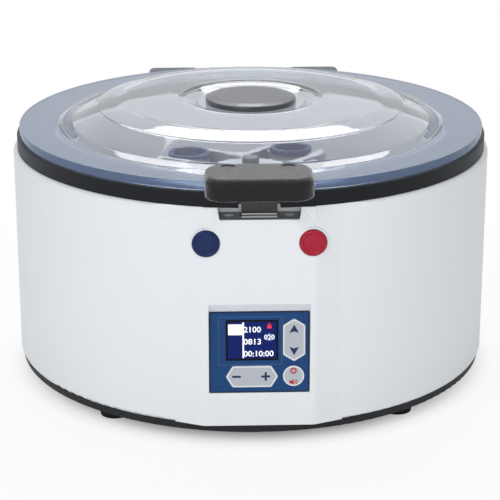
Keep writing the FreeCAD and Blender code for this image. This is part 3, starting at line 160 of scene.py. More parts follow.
def revolved(profile, turns):
    """x = r cos a, y = r sin a, z = h for each profile point (r, h) and each angle a of a full turn."""
    angle = np.linspace(0, 2 * np.pi, turns, endpoint=False)[None]
    r, h = profile[:, :1], profile[:, 1:]
    return np.stack([r * np.cos(angle), r * np.sin(angle), h + 0 * angle], axis=-1).reshape(-1, 3)


# %% [markdown]
# ## Shared effects for the finishes
#
# No real surface has one flat colour. Four small node groups hold what several finishes share: a slow change
# of tone, the grain that a mould leaves, the rings that turning leaves, and the streaks that brushing leaves.
# Each gives out only masks and heights. The shader itself stays in each material, where its plain numbers
# are easy to read.

# %% Node groups


def new_group(name, inputs, outputs):
    """An empty shader node group with named float inputs (name, value) and outputs."""
    group = bpy.data.node_groups.new(name, "ShaderNodeTree")
    for label, value in inputs:
        socket = group.interface.new_socket(label, in_out="INPUT", socket_type="NodeSocketFloat")
        socket.default_value = value
    for label in outputs:
        group.interface.new_socket(label, in_out="OUTPUT", socket_type="NodeSocketFloat")
    return group, group.nodes.new("NodeGroupInput"), group.nodes.new("NodeGroupOutput")


def add_noise(tree, vector, scale, detail, roughness=0.5):
    """A noise texture on a vector. Scale is a number, or a socket that gives it."""
    noise = tree.nodes.new("ShaderNodeTexNoise")
    noise.inputs["Detail"].default_value = detail
    noise.inputs["Roughness"].default_value = roughness
    tree.links.new(vector, noise.inputs["Vector"])
    if isinstance(scale, (int, float)):
        noise.inputs["Scale"].default_value = scale
    else:
        tree.links.new(scale, noise.inputs["Scale"])
    return noise.outputs["Fac"]


def add_math(tree, operation, first, second=0.0, third=0.0):
    """A math node whose inputs are numbers or sockets."""
    node = tree.nodes.new("ShaderNodeMath")
    node.operation = operation
    for socket, value in zip(node.inputs, (first, second, third)):
        if isinstance(value, (int, float)):
            socket.default_value = value
        else:
            tree.links.new(value, socket)
    return node.outputs[0]


def tone_group():
    """Tone is 0 to 1: a slow noise over the whole piece, with a finer one on top."""
    group, given, result = new_group("Slow tone", [("Scale", 9.0), ("Fine scale", 160.0)], ["Tone"])
    place = group.nodes.new("ShaderNodeTexCoord").outputs["Object"]
    slow = add_noise(group, place, given.outputs["Scale"], 2.0)
    fine = add_noise(group, place, given.outputs["Fine scale"], 3.0)
    both = add_math(group, "MULTIPLY_ADD", slow, 0.7, add_math(group, "MULTIPLY", fine, 0.3))
    ramp = group.nodes.new("ShaderNodeMapRange")
    ramp.inputs["From Min"].default_value = 0.35
    ramp.inputs["From Max"].default_value = 0.65
    group.links.new(both, ramp.inputs["Value"])
    group.links.new(ramp.outputs["Result"], result.inputs["Tone"])
    return group


def grain_group():
    """Height is the spark-eroded grain of a moulded skin: cells with noise between them. Tone follows it."""
    group, given, result = new_group("Mould grain", [("Scale", 900.0)], ["Height", "Tone"])
    place = group.nodes.new("ShaderNodeTexCoord").outputs["Object"]
    cells = group.nodes.new("ShaderNodeTexVoronoi")
    group.links.new(place, cells.inputs["Vector"])
    group.links.new(given.outputs["Scale"], cells.inputs["Scale"])
    noise = add_noise(group, place, given.outputs["Scale"], 3.0)
    height = add_math(group, "MULTIPLY_ADD", cells.outputs["Distance"], 0.5, noise)
    group.links.new(height, result.inputs["Height"])
    group.links.new(add_math(group, "MULTIPLY_ADD", height, 2.0, -0.9), result.inputs["Tone"])
    return group


def turned_group():
    """Height and Tone follow the distance from the machine's axis and the level, as tool marks do."""
    group, given, result = new_group("Turned lines", [("Scale", 700.0)], ["Height", "Tone"])
    place = group.nodes.new("ShaderNodeTexCoord").outputs["Object"]
    split = group.nodes.new("ShaderNodeSeparateXYZ")
    group.links.new(place, split.inputs["Vector"])
    x_squared = add_math(group, "MULTIPLY", split.outputs["X"], split.outputs["X"])
    squared = add_math(group, "MULTIPLY_ADD", split.outputs["Y"], split.outputs["Y"], x_squared)
    radius = add_math(group, "SQRT", squared)
    line = group.nodes.new("ShaderNodeCombineXYZ")
    group.links.new(radius, line.inputs["X"])
    group.links.new(split.outputs["Z"], line.inputs["Y"])
    height = add_noise(group, line.outputs["Vector"], given.outputs["Scale"], 4.0, 0.7)
    slow = add_noise(group, line.outputs["Vector"], 40.0, 2.0)
    group.links.new(height, result.inputs["Height"])
    group.links.new(add_math(group, "MULTIPLY_ADD", height, 0.6, add_math(group, "MULTIPLY", slow, 0.4)),
                    result.inputs["Tone"])
    return group


def brushed_group():
    """Height and Tone are long thin streaks along X, as a belt leaves on sheet steel."""
    group, given, result = new_group("Brushed lines", [("Scale", 500.0)], ["Height", "Tone"])
    place = group.nodes.new("ShaderNodeTexCoord").outputs["Object"]
    stretch = group.nodes.new("ShaderNodeVectorMath")
    stretch.operation = "MULTIPLY"
    stretch.inputs[1].default_value = (0.03, 1.0, 1.0)
    group.links.new(place, stretch.inputs[0])
    height = add_noise(group, stretch.outputs["Vector"], given.outputs["Scale"], 5.0, 0.75)
    group.links.new(height, result.inputs["Height"])
    group.links.new(height, result.inputs["Tone"])
    return group


EFFECTS = {"tone": tone_group(), "grain": grain_group(), "turned": turned_group(), "brushed": brushed_group()}
print("shared effects:", sorted(EFFECTS))

# %% [markdown]
# ## One recipe for solid finishes
#
# A finish is a Principled shader whose colour moves a little between two neighbouring tones, whose roughness
# follows the same mask, and whose normal is shaken by a bump. A colour is written as it is seen (sRGB, 0 to
# 255), and turned into the linear value that the shader needs.

# %% Finishes


def linear(seen):
    """The linear value of a colour written in sRGB, 0 to 255."""
    share = np.asarray(seen, float) / 255
    value = np.where(share <= 0.04045, share / 12.92, ((share + 0.055) / 1.055) ** 2.4)
    return (*value.tolist(), 1.0)


def place_effect(material, kind, scale):
    """Put one of the shared effects into a material, at a scale of its own."""
    node = material.node_tree.nodes.new("ShaderNodeGroup")
    node.node_tree = EFFECTS[kind]
    node.inputs["Scale"].default_value = scale
    return node


TONE_SCALE = 9.0
RELIEF_SHARE = 0.6
ROUGH_CHANGE = 0.06


def new_finish(name, seen, roughness, effect="grain", scale=900.0, depth=0.00005, change=0.05,
               metallic=0.0, coat=0.0, **sockets):
    """A finish with a slowly changing tone and a bump. depth is the height of its relief in metres.

    The mask that moves colour and roughness is the relief's tone by RELIEF_SHARE, and the slow tone for
    the rest.
    """
    material = bpy.data.materials.new(name)
    material.use_nodes = True
    tree = material.node_tree
    shader = tree.nodes["Principled BSDF"]
    shader.inputs["Metallic"].default_value = metallic
    shader.inputs["Coat Weight"].default_value = coat
    for label, value in sockets.items():
        shader.inputs[label.replace("_", " ")].default_value = value
    tone = place_effect(material, "tone", TONE_SCALE)
    relief = place_effect(material, effect, scale)
    slow = add_math(tree, "MULTIPLY", tone.outputs["Tone"], 1 - RELIEF_SHARE)
    mask = add_math(tree, "MULTIPLY_ADD", relief.outputs["Tone"], RELIEF_SHARE, slow)
    blend = tree.nodes.new("ShaderNodeMix")
    blend.data_type = "RGBA"
    colour = np.array(linear(seen)[:3])
    blend.inputs["A"].default_value = (*np.clip(colour * (1 - change), 0, 1).tolist(), 1)
    blend.inputs["B"].default_value = (*np.clip(colour * (1 + change), 0, 1).tolist(), 1)
    tree.links.new(mask, blend.inputs["Factor"])
    tree.links.new(blend.outputs["Result"], shader.inputs["Base Color"])
    rough = tree.nodes.new("ShaderNodeMapRange")
    rough.inputs["To Min"].default_value = max(0.02, roughness - ROUGH_CHANGE)
    rough.inputs["To Max"].default_value = min(1.0, roughness + ROUGH_CHANGE)
    tree.links.new(mask, rough.inputs["Value"])
    tree.links.new(rough.outputs["Result"], shader.inputs["Roughness"])
    bump = tree.nodes.new("ShaderNodeBump")
    bump.inputs["Strength"].default_value = 1.0
    bump.inputs["Distance"].default_value = depth
    tree.links.new(relief.outputs["Height"], bump.inputs["Height"])
    tree.links.new(bump.outputs["Normal"], shader.inputs["Normal"])
    return material


HOUSING_WHITE = new_finish("Moulded housing", (233, 236, 239), 0.34, scale=650, depth=0.00003,
                           change=0.012, coat=0.15, Coat_Roughness=0.25)
RIM_CHARCOAL = new_finish("Rim plastic", (21, 23, 27), 0.42, scale=1200, depth=0.00004, change=0.12,
                          Specular_IOR_Level=0.25)
PAN_BLACK = new_finish("Powder coat", (24, 25, 27), 0.55, scale=1500, depth=0.00006, change=0.15)
HANDLE_GREY = new_finish("Grained handle", (20, 22, 25), 0.50, scale=700, depth=0.0006, change=0.75,
                         Sheen_Weight=1.0, Sheen_Roughness=0.30, Specular_IOR_Level=0.35)
BRACKET_GREY = new_finish("Bracket plastic", (82, 88, 99), 0.42, scale=1100, depth=0.00004, change=0.06,
                          Specular_IOR_Level=0.3)
CAP_DARK = new_finish("Cap plastic", (66, 68, 73), 0.30, effect="turned", scale=900, depth=0.00001,
                      change=0.08, coat=0.3)
RUBBER = new_finish("Rubber", (22, 22, 23), 0.72, scale=2200, depth=0.00006, change=0.2)
GASKET = new_finish("Gasket rubber", (46, 48, 52), 0.65, scale=1800, depth=0.00004, change=0.15)
BRUSHED_STEEL = new_finish("Brushed steel", (214, 214, 210), 0.34, effect="brushed", scale=900,
                           depth=0.00001, change=0.12, metallic=0.6)
# painted shade: the strike sheet is steel like the hinge leaf, given a much darker colour for the shade it
# lies in under the handle's overhang
SHADED_STRIKE_STEEL = new_finish("Strike sheet in painted shade", (104, 108, 112), 0.30, effect="brushed", scale=900,
                          depth=0.00001, change=0.15, metallic=0.9)
BOWL_STEEL = new_finish("Chamber sheet", (232, 233, 236), 0.36, effect="turned", scale=450,
                        depth=0.00001, change=0.04, metallic=0.08)
SCREW_STEEL = new_finish("Plated screws", (176, 176, 172), 0.25, scale=3000, depth=0.00001, change=0.1,
                         metallic=1.0)
DARK_STEEL = new_finish("Darkened steel", (78, 76, 76), 0.36, effect="brushed", scale=800,
                        depth=0.00001, change=0.15, metallic=0.9)
ALUMINIUM = new_finish("Machined aluminium", (172, 174, 180), 0.50, effect="turned", scale=1400,
                       depth=0.00001, change=0.06, metallic=0.55)
BUCKET_GREY = new_finish("Bucket aluminium", (170, 172, 179), 0.42, effect="turned", scale=1200,
                         depth=0.00001, change=0.05, metallic=0.45)
COLLAR_BLUE = new_finish("Collar plastic", (6, 48, 118), 0.30, scale=1600, depth=0.00002, change=0.08,
                         Specular_IOR_Level=0.3)
BUTTON_BLUE = new_finish("Blue button", (16, 38, 86), 0.26, scale=1800, depth=0.00001, change=0.06,
                         Specular_IOR_Level=0.3)
BUTTON_RED = new_finish("Red button", (166, 20, 48), 0.28, scale=1800, depth=0.00001, change=0.06,
                        Specular_IOR_Level=0.35)
FASCIA_BLUE = new_finish("Panel film", (22, 66, 118), 0.38, scale=2600, depth=0.00002, change=0.05,
                         Specular_IOR_Level=0.25)
KEY_GREY = new_finish("Key film", (183, 188, 194), 0.42, scale=2600, depth=0.00002, change=0.02)
SCREEN_BLACK = new_finish("Display glass", (8, 9, 18), 0.2, scale=400, depth=0.000002, change=0.2,
                          Specular_IOR_Level=0.15)
BOARD_GREEN = new_finish("Circuit board", (26, 84, 56), 0.40, scale=900, depth=0.00002, change=0.2)
COPPER = new_finish("Copper winding", (184, 110, 70), 0.36, effect="turned", scale=900, depth=0.0001,
                    change=0.15, metallic=0.9)
MAGNET = new_finish("Magnet ring", (70, 70, 74), 0.45, scale=1500, depth=0.00003, change=0.1, metallic=0.6)
SWITCH_BLACK = new_finish("Switch plastic", (24, 25, 27), 0.36, scale=1500, depth=0.00003, change=0.15)
print(len(bpy.data.materials), "finishes")

# %% [markdown]
# ## Finishes on the construction
#
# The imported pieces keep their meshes. Each one only gets the finish of its real material.

# %% Assign the finishes
FINISH_OF = {
    HOUSING_WHITE: ["housing_shell"],
    RIM_CHARCOAL: ["rim_ring"],
    PAN_BLACK: ["base_pan", "lock_housing", "motor_plate"],
    HANDLE_GREY: ["lid_handle", "handle_screws"],
    BRACKET_GREY: ["hinge_bracket"],
    CAP_DARK: ["lid_cap", "rotor_nut"],
    RUBBER: ["rubber_feet", "vibration_mounts"],
    GASKET: ["lid_gasket"],
    BRUSHED_STEEL: ["hinge_leaf"],
    SHADED_STRIKE_STEEL: ["strike_plate"],
    BOWL_STEEL: ["chamber_wall", "chamber_floor", "chamber_hump"],
    SCREW_STEEL: ["strike_screws", "hook_screws", "leaf_screws", "foot_screws", "mount_screws", "hinge_pin",
                  "bearing_outer_races", "bearing_inner_races", "drive_shaft", "trunnion_pins"],
    DARK_STEEL: ["lid_hook", "lock_bolt", "hinge_screws"],
    ALUMINIUM: ["rotor_yoke", "motor_housing"],
    BUCKET_GREY: ["bucket_1", "bucket_2", "bucket_3", "bucket_4"],
    COLLAR_BLUE: ["bucket_collar_1", "bucket_collar_2", "bucket_collar_3", "bucket_collar_4"],
    BUTTON_BLUE: ["open_button"],
    BUTTON_RED: ["start_stop_button"],
    FASCIA_BLUE: ["panel_fascia"],
    KEY_GREY: ["up_down_key", "minus_plus_key", "settings_key"],
    SCREEN_BLACK: ["display_module"],
    BOARD_GREEN: ["keypad_board", "control_board"],
    COPPER: ["motor_stator", "lock_solenoid"],
    MAGNET: ["magnet_rotor"],
    SWITCH_BLACK: ["button_switches", "power_supply", "mains_inlet", "power_switch_frame",
                   "power_switch_rocker"],
}


def give_finish(node, material):
    """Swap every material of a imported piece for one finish."""
    mesh = nodes[node].data
    mesh.materials.clear()
    mesh.materials.append(material)


for material, names in FINISH_OF.items():
    for node in names:
        give_finish(node, material)
finished = {node for names in FINISH_OF.values() for node in names}
print("still without a finish:", sorted(set(nodes) - finished))

# %% [markdown]
# ## The clear lid
#
# The lid is one thick sheet of clear plastic: a flat plate, a dome drawn up from it, and a dish in the middle
# for the dark cap. Light bends at both of its faces, so the piece is a closed shell with its real wall, and
# not a single sheet. It is turned from one profile whose radii are the real ones. The plate and the polished
# edge look bluer than the dome, because there the eye looks through more plastic, so they have finishes of
# their own. A lamp's light should reach the rotor through the plastic, and a shadow ray can't bend, so shadow
# and diffuse rays meet a plain transparent shader instead.

# %% Clear plastics


ACRYLIC_IOR = 1.49
CLOUD_SCALE = 60.0
RIPPLE_SCALE = 110.0


def clear_plastic(name, seen, roughness, transmission, shadow_seen, ripple=0.0):
    """Clear or nearly clear plastic. shadow_seen is the tint that light keeps on its way through.

    ripple is the depth in metres of the faint rings that the turned mould has left in the sheet.
    """
    material = bpy.data.materials.new(name)
    material.use_nodes = True
    tree = material.node_tree
    shader = tree.nodes["Principled BSDF"]
    shader.inputs["Transmission Weight"].default_value = transmission
    shader.inputs["IOR"].default_value = ACRYLIC_IOR
    tone = place_effect(material, "tone", CLOUD_SCALE)
    blend = tree.nodes.new("ShaderNodeMix")
    blend.data_type = "RGBA"
    colour = np.array(linear(seen)[:3])
    blend.inputs["A"].default_value = (*np.clip(colour * 0.98, 0, 1).tolist(), 1)
    blend.inputs["B"].default_value = (*np.clip(colour * 1.02, 0, 1).tolist(), 1)
    tree.links.new(tone.outputs["Tone"], blend.inputs["Factor"])
    tree.links.new(blend.outputs["Result"], shader.inputs["Base Color"])
    rough = tree.nodes.new("ShaderNodeMapRange")
    rough.inputs["To Min"].default_value = roughness * 0.7
    rough.inputs["To Max"].default_value = roughness * 1.3
    tree.links.new(tone.outputs["Tone"], rough.inputs["Value"])
    tree.links.new(rough.outputs["Result"], shader.inputs["Roughness"])
    if ripple:
        rings = place_effect(material, "turned", RIPPLE_SCALE)
        bump = tree.nodes.new("ShaderNodeBump")
        bump.inputs["Distance"].default_value = ripple
        tree.links.new(rings.outputs["Height"], bump.inputs["Height"])
        tree.links.new(bump.outputs["Normal"], shader.inputs["Normal"])
    through = tree.nodes.new("ShaderNodeBsdfTransparent")
    through.inputs["Color"].default_value = linear(shadow_seen)
    path = tree.nodes.new("ShaderNodeLightPath")
    either = add_math(tree, "MAXIMUM", path.outputs["Is Shadow Ray"], path.outputs["Is Diffuse Ray"])
    mix = tree.nodes.new("ShaderNodeMixShader")
    tree.links.new(either, mix.inputs["Fac"])
    tree.links.new(shader.outputs["BSDF"], mix.inputs[1])
    tree.links.new(through.outputs["BSDF"], mix.inputs[2])
    tree.links.new(mix.outputs["Shader"], tree.nodes["Material Output"].inputs["Surface"])
    return material


CLEAR_DOME = clear_plastic("Clear dome", (248, 250, 254), 0.02, 0.97, (253, 254, 255), ripple=0.00004)
CLEAR_PLATE = clear_plastic("Clear plate", (184, 197, 218), 0.05, 0.75, (225, 232, 242))
CLEAR_EDGE = clear_plastic("Polished edge", (92, 112, 148), 0.14, 0.35, (200, 212, 232))

# %% Turn the lid
pane_low, pane_high = (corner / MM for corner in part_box("lid_pane"))
LID = {"radius": pane_high.x, "bottom": pane_low.z, "plate": 7.6, "rise": 20.0, "wall": 4.0,
       "dome_foot": 173.0, "shoulder": 139.5, "shoulder_drop": 4.6, "brow": 119.0, "dish_rim": 63.0,
       "dish_floor": 49.5, "dish_depth": 4.6, "stem": 10.0}
LID_TURNS = 288


def lid_profile():
    """The half section of the lid, outside first from the stem outwards, then back along the inside."""
    plate_top = LID["bottom"] + LID["plate"]
    top = plate_top + LID["rise"]
    dish = top - LID["dish_depth"]
    shoulder = top - LID["shoulder_drop"]
    wall = LID["wall"]
    outside = [
        (LID["stem"], dish), (LID["dish_floor"], dish, 8.0), (LID["dish_rim"], top, 20.0),
        (LID["brow"], top - 0.2, 40.0), (LID["shoulder"], shoulder, 12.0),
        (LID["dome_foot"] - 7.0, plate_top + 2.0, 6.0), (LID["dome_foot"] + 2.0, plate_top, 8.0),
        (LID["radius"], plate_top, 0.8), (LID["radius"], LID["bottom"], 0.8),
    ]
    inside = [
        (LID["dome_foot"] - 4.0, LID["bottom"], 2.0), (LID["dome_foot"] - 12.0, plate_top, 6.0),
        (LID["shoulder"] - 1.5, shoulder - wall + 0.4, 8.0), (LID["brow"] - 1.0, top - wall - 0.2, 36.0),
        (LID["dish_rim"] - 1.0, top - wall, 16.0), (LID["dish_floor"] - 1.0, dish - wall, 12.0),
        (LID["stem"], dish - wall),
    ]
    return finer(rounded(outside + inside, step=4.0), 6.0)


def make_lid():
    """Turn the lid. Its dome, flat plate and outer edge get the finishes 0, 1 and 2."""
    profile = lid_profile()
    points = revolved(profile, LID_TURNS)
    faces = grid_faces(len(profile), LID_TURNS, wrap_rows=True)
    lid = new_piece("lid_glass", points, faces, [CLEAR_DOME, CLEAR_PLATE, CLEAR_EDGE], "lid")
    mesh = lid.data
    centres = np.zeros(len(mesh.polygons) * 3)
    normals = np.zeros(len(mesh.polygons) * 3)
    mesh.polygons.foreach_get("center", centres)
    mesh.polygons.foreach_get("normal", normals)
    centres, normals = centres.reshape(-1, 3) / MM, normals.reshape(-1, 3)
    radius = np.hypot(centres[:, 0], centres[:, 1])
    kind = np.where(radius > LID["dome_foot"] + 1.0, 1, 0)
    kind = np.where((radius > LID["radius"] - 1.0) & (abs(normals[:, 2]) < 0.5), 2, kind)
    mesh.polygons.foreach_set("material_index", kind.astype(np.int32))
    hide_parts("lid_pane")
    print("lid:", len(mesh.polygons), "faces")


make_lid()

# %% [markdown]
# ## The push buttons
#
# Each button is a domed cap with a raised edge that catches the light. The cap is turned about the
# direction in which it is pressed, so its profile runs outwards from the wall.

# %% Turn the buttons
CAP_RADIUS = 11.25
CAP_DEPTH = 12.0
CAP_TURNS = 96


def button_profile(radius, depth):
    """The half section (radius, outwards): a shallow dome in a raised edge, and the side down to the wall."""
    return finer(rounded([
        (0, depth - 0.5), (radius * 0.45, depth - 0.55, 8.0), (radius - 3.4, depth - 1.0, 2.0),
        (radius - 2.7, depth - 0.2, 0.5), (radius, depth, 2.2), (radius, 0), (0, 0),
    ], closed=False, step=10.0), 2.0, closed=False)


def make_button(node, material):
    """Turn the cap that takes the place of a packed button, with its face at the same level."""
    low, high = (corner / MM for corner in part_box(node))
    centre_x, centre_z = (low.x + high.x) / 2, (low.z + high.z) / 2
    profile = button_profile(CAP_RADIUS, CAP_DEPTH)
    turned = revolved(profile, CAP_TURNS)
    points = np.column_stack([turned[:, 0] + centre_x, low.y + CAP_DEPTH - turned[:, 2],
                              turned[:, 1] + centre_z])
    faces = grid_faces(len(profile), CAP_TURNS)
    piece = new_piece(node + "_cap", points, faces, [material], node)
    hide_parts(node)
    print(node, "cap at", [round(v, 1) for v in (centre_x, low.y, centre_z)])


make_button("open_button", BUTTON_BLUE)
make_button("start_stop_button", BUTTON_RED)

# %% [markdown]
# ## Plugs and the latch
#
# Two shallow plugs in the handle's own grey close its screw holes. Below the handle the steel tongue ends in
# a polished edge, and a rounded lip stands in front of the slot that it drops into. Both are thin bars of
# bright steel whose near-white colour is also a painted highlight for the white lines of light along them,
# and each is one small section carried across.

# %% Plugs in the handle
screws_low, screws_high = (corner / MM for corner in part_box("handle_screws"))
HEAD_RADIUS = 5.0
HEAD_DEPTH = 2.4
PLUG_RADIUS = 5.7
PLUG_TURNS = 64


def make_plug(name, across):
    """A turned plug that stands on a screw's head and ends a little below the handle's face."""
    top = HEAD_DEPTH - 0.7
    profile = finer(rounded([(0, top - 0.3), (3.4, top - 0.3, 1.0), (4.4, top, 0.6), (PLUG_RADIUS, top, 0.5),
                             (PLUG_RADIUS, 0.05), (0, 0.05)], closed=False, step=12.0), 1.5, closed=False)
    place = np.array([across, (screws_low.y + screws_high.y) / 2, screws_high.z])
    faces = grid_faces(len(profile), PLUG_TURNS)
    return new_piece(name, revolved(profile, PLUG_TURNS) + place, faces, [HANDLE_GREY], "lid")


for side, across in (("left", screws_low.x + HEAD_RADIUS), ("right", screws_high.x - HEAD_RADIUS)):
    make_plug("handle_plug_" + side, across)

# %% Latch edges with a painted highlight
hook_low, hook_high = (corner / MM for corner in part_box("lid_hook"))
strike_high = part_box("strike_plate")[1] / MM
# painted highlight: bright steel whose near-white colour also stands for the light that the tongue's edge and
# the slot's lip catch
HIGHLIGHT_PAINTED_EDGE = new_finish("Lip with painted highlight", (236, 236, 234), 0.28, effect="brushed", scale=900, depth=0.000005,
                         change=0.04, metallic=0.3)
TONGUE_HALF = 14.4


def make_bar(name, section, half, body):
    """A closed section (y, z) in mm carried from -half to half along x, with flat ends."""
    section = np.asarray(section)
    count = len(section)
    across = np.repeat([-half, half], count)
    points = np.column_stack([across, np.tile(section, (2, 1))])
    faces = grid_faces(2, count).tolist() + [list(range(count)), list(range(2 * count - 1, count - 1, -1))]
    return new_piece(name, points, faces, [HIGHLIGHT_PAINTED_EDGE], body)


edge_low, edge_high = strike_high.z + 0.45, strike_high.z + 1.95
edge_front, edge_back = hook_low.y - 0.35, hook_low.y + 0.1
make_bar("tongue_edge", rounded([(edge_back, edge_low), (edge_back, edge_high), (edge_front, edge_high, 0.3),
                                 (edge_front, edge_low, 0.3)]), TONGUE_HALF, "lid")
lip_low, lip_high = strike_high.z - 0.1, strike_high.z + 0.9
lip_front, lip_back = hook_low.y - 5.2, hook_low.y - 2.6
make_bar("slot_lip", rounded([(lip_back, lip_low), (lip_back, lip_high, 0.4), (lip_front, lip_high, 0.8),
                              (lip_front, lip_low)]), TONGUE_HALF, "root")
print("tongue", round(hook_low.z, 1), "to", round(hook_high.z, 1), "mm, plate top", round(strike_high.z, 1))

# %% [markdown]
# ## Signs on the control panel
#
# The panel leans back a little, so its signs are drawn in the panel's own plane, across and up, and then
# carried to their place with two direction vectors. Words are left out: the display shows plain numbers, and
# the keys have arrows, a minus, a plus and two small pictures. Every sign is a thin raised print.

# %% The panel's plane
panel_low, panel_high = (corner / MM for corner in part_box("panel_fascia"))
PANEL_HEIGHT = 69.8
PANEL_SET_BACK = 5.5
LEAN = math.asin(PANEL_SET_BACK / PANEL_HEIGHT)
FASCIA_SHEET = 2.0
PANEL_START = np.array([0.0, panel_low.y, panel_low.z + FASCIA_SHEET * math.sin(LEAN)])
PANEL_ACROSS = np.array([1.0, 0.0, 0.0])
PANEL_UP = np.array([0.0, math.sin(LEAN), math.cos(LEAN)])
PANEL_OUT = np.array([0.0, -math.cos(LEAN), math.sin(LEAN)])
KEY_FACE = 0.6
SCREEN_FACE = -0.3
PRINT_THICK = 0.05
DIGIT_THICK = 0.04
DIGIT_BOLD = 0.02


def on_panel(flat, out):
    """Points (across, up) of the panel's plane, out millimetres in front of the fascia."""
    flat = np.atleast_2d(flat)
    in_plane = flat[:, :1] * PANEL_ACROSS + flat[:, 1:2] * PANEL_UP
    return PANEL_START + in_plane + np.reshape(out, (-1, 1)) * PANEL_OUT


def printed(name, outlines, base, material, body="root"):
    """Flat prints: each outline (across, up) becomes a closed slab that stands on base."""
    points, faces, start = [], [], 0
    for outline in outlines:
        outline = np.asarray(outline, float)
        count = len(outline)
        points += [on_panel(outline, base), on_panel(outline, base + PRINT_THICK)]
        lower = np.arange(count) + start
        upper = lower + count
        faces.append(lower.tolist())
        faces.append(upper[::-1].tolist())
        around = np.stack([lower, upper, np.roll(upper, -1), np.roll(lower, -1)], axis=-1)
        faces += around.tolist()
        start += 2 * count
    return new_piece(name, np.concatenate(points), faces, [material], body)


def bordered(name, line, width, base, material, body="root"):
    """A printed line of this width along a closed outline, half of it on each side."""
    ahead = np.roll(line, -1, axis=0) - np.roll(line, 1, axis=0)
    ahead = ahead / np.linalg.norm(ahead, axis=1, keepdims=True)
    side = np.stack([-ahead[:, 1], ahead[:, 0]], axis=-1) * width / 2
    top = base + PRINT_THICK
    rings = [on_panel(line + side, base), on_panel(line + side, top),
             on_panel(line - side, top), on_panel(line - side, base)]
    points = np.stack(rings).reshape(-1, 3)
    return new_piece(name, points, grid_faces(4, len(line), wrap_rows=True), [material], body)


def box_outline(left, right, low, high, radius=0.3):
    """A rectangle with rounded corners."""
    return rounded([(left, low, radius), (right, low, radius), (right, high, radius), (left, high, radius)],
                   step=15.0)


def circle(centre, radius, count=64):
    """A circle as a closed line of count points."""
    angle = np.linspace(0, 2 * np.pi, count, endpoint=False)
    return np.stack([centre[0] + radius * np.cos(angle), centre[1] + radius * np.sin(angle)], axis=-1)


# %% Prints and lit pixels


def lit(name, seen, strength):
    """A lit part of the display: its own light, seen as a colour, under a dulled cover."""
    material = new_finish(name, seen, 0.3, scale=1200, depth=0.000002, change=0.06, Specular_IOR_Level=0.15)
    shader = material.node_tree.nodes["Principled BSDF"]
    shader.inputs["Emission Color"].default_value = linear(seen)
    shader.inputs["Emission Strength"].default_value = strength
    return material


PIXEL_NAVY = lit("Navy pixels", (8, 24, 84), 0.5)
PIXEL_BLUE = lit("Pale blue pixels", (120, 140, 200), 0.5)
PIXEL_WHITE = lit("White pixels", (236, 238, 244), 0.4)
PIXEL_RED = lit("Red pixels", (226, 50, 70), 0.5)
PRINT_WHITE = new_finish("White print", (238, 240, 243), 0.45, scale=2400, depth=0.00001, change=0.02)
PRINT_NAVY = new_finish("Navy print", (14, 36, 84), 0.42, scale=2400, depth=0.00001, change=0.05)
PRINT_RED = new_finish("Red print", (190, 26, 40), 0.42, scale=2400, depth=0.00001, change=0.05)
PRINT_DARK = new_finish("Dark border", (12, 26, 56), 0.42, scale=2400, depth=0.00001, change=0.05)
PRINT_PALE = new_finish("Pale blue line", (64, 102, 152), 0.42, scale=2400, depth=0.00001, change=0.05)


def digits(name, text, width, height, across, up, base, material):
    """Plain numbers in Blender's own font, made a mesh and stretched to width and height on the panel."""
    curve = bpy.data.curves.new(name, "FONT")
    curve.body = text
    curve.offset = DIGIT_BOLD
    curve.extrude = DIGIT_THICK / 2
    curve.resolution_u = 3
    holder = bpy.data.objects.new(name + "_curve", curve)
    bpy.context.scene.collection.objects.link(holder)
    bpy.context.view_layer.update()
    mesh = bpy.data.meshes.new_from_object(holder.evaluated_get(bpy.context.evaluated_depsgraph_get()))
    bpy.data.objects.remove(holder)
    flat = np.zeros(len(mesh.vertices) * 3)
    mesh.vertices.foreach_get("co", flat)
    flat = flat.reshape(-1, 3)
    low, high = flat.min(axis=0), flat.max(axis=0)
    flat[:, 0] = across + (flat[:, 0] - low[0]) * width / (high[0] - low[0])
    flat[:, 1] = up + (flat[:, 1] - (low[1] + high[1]) / 2) * height / (high[1] - low[1])
    faces = [list(polygon.vertices) for polygon in mesh.polygons]
    points = on_panel(flat[:, :2], flat[:, 2] + base + DIGIT_THICK / 2)
    bpy.data.meshes.remove(mesh)
    return new_piece(name, points, faces, [material], "root")


# %% [markdown]
# ## The display
#
# The display is a small colour screen behind a black frame. A navy ground, one white field, a thin upright
# line and three rows of numbers make it read as a running machine.

# %% Draw the display
SCREEN = {"left": -27.6, "width": 43.2, "low": 27.9, "height": 34.7}
screen_right = SCREEN["left"] + SCREEN["width"]
screen_high = SCREEN["low"] + SCREEN["height"]
PICTURE = SCREEN_FACE + 0.02
ROWS = {"speed": 54.3, "force": 43.9, "time": 33.6}
FRAME = 1.6
FIELD_RIGHT, FIELD_HALF = -13.9, 4.6
LINE_RIGHT = -12.6
NUMBER_LEFT, NUMBER_HEIGHT = -13.0, 5.0
FOUR_DIGITS, SIX_DIGITS = 14.4, 24.8
INK = PICTURE + 0.06
printed("display_ground", [box_outline(SCREEN["left"] + FRAME, screen_right - FRAME, SCREEN["low"] + FRAME,
                                       screen_high - FRAME)], PICTURE, PIXEL_NAVY)
field_low, field_high = ROWS["speed"] - FIELD_HALF, ROWS["speed"] + FIELD_HALF
printed("display_field", [box_outline(SCREEN["left"] + 1.9, FIELD_RIGHT, field_low, field_high, 0.2),
                          box_outline(FIELD_RIGHT, LINE_RIGHT, SCREEN["low"] + 2.0, screen_high - 2.0, 0.1)],
        INK, PIXEL_WHITE)
digits("display_speed", "2100", FOUR_DIGITS, NUMBER_HEIGHT, NUMBER_LEFT, ROWS["speed"], INK, PIXEL_WHITE)
digits("display_force", "0813", FOUR_DIGITS, NUMBER_HEIGHT, NUMBER_LEFT, ROWS["force"], INK, PIXEL_WHITE)
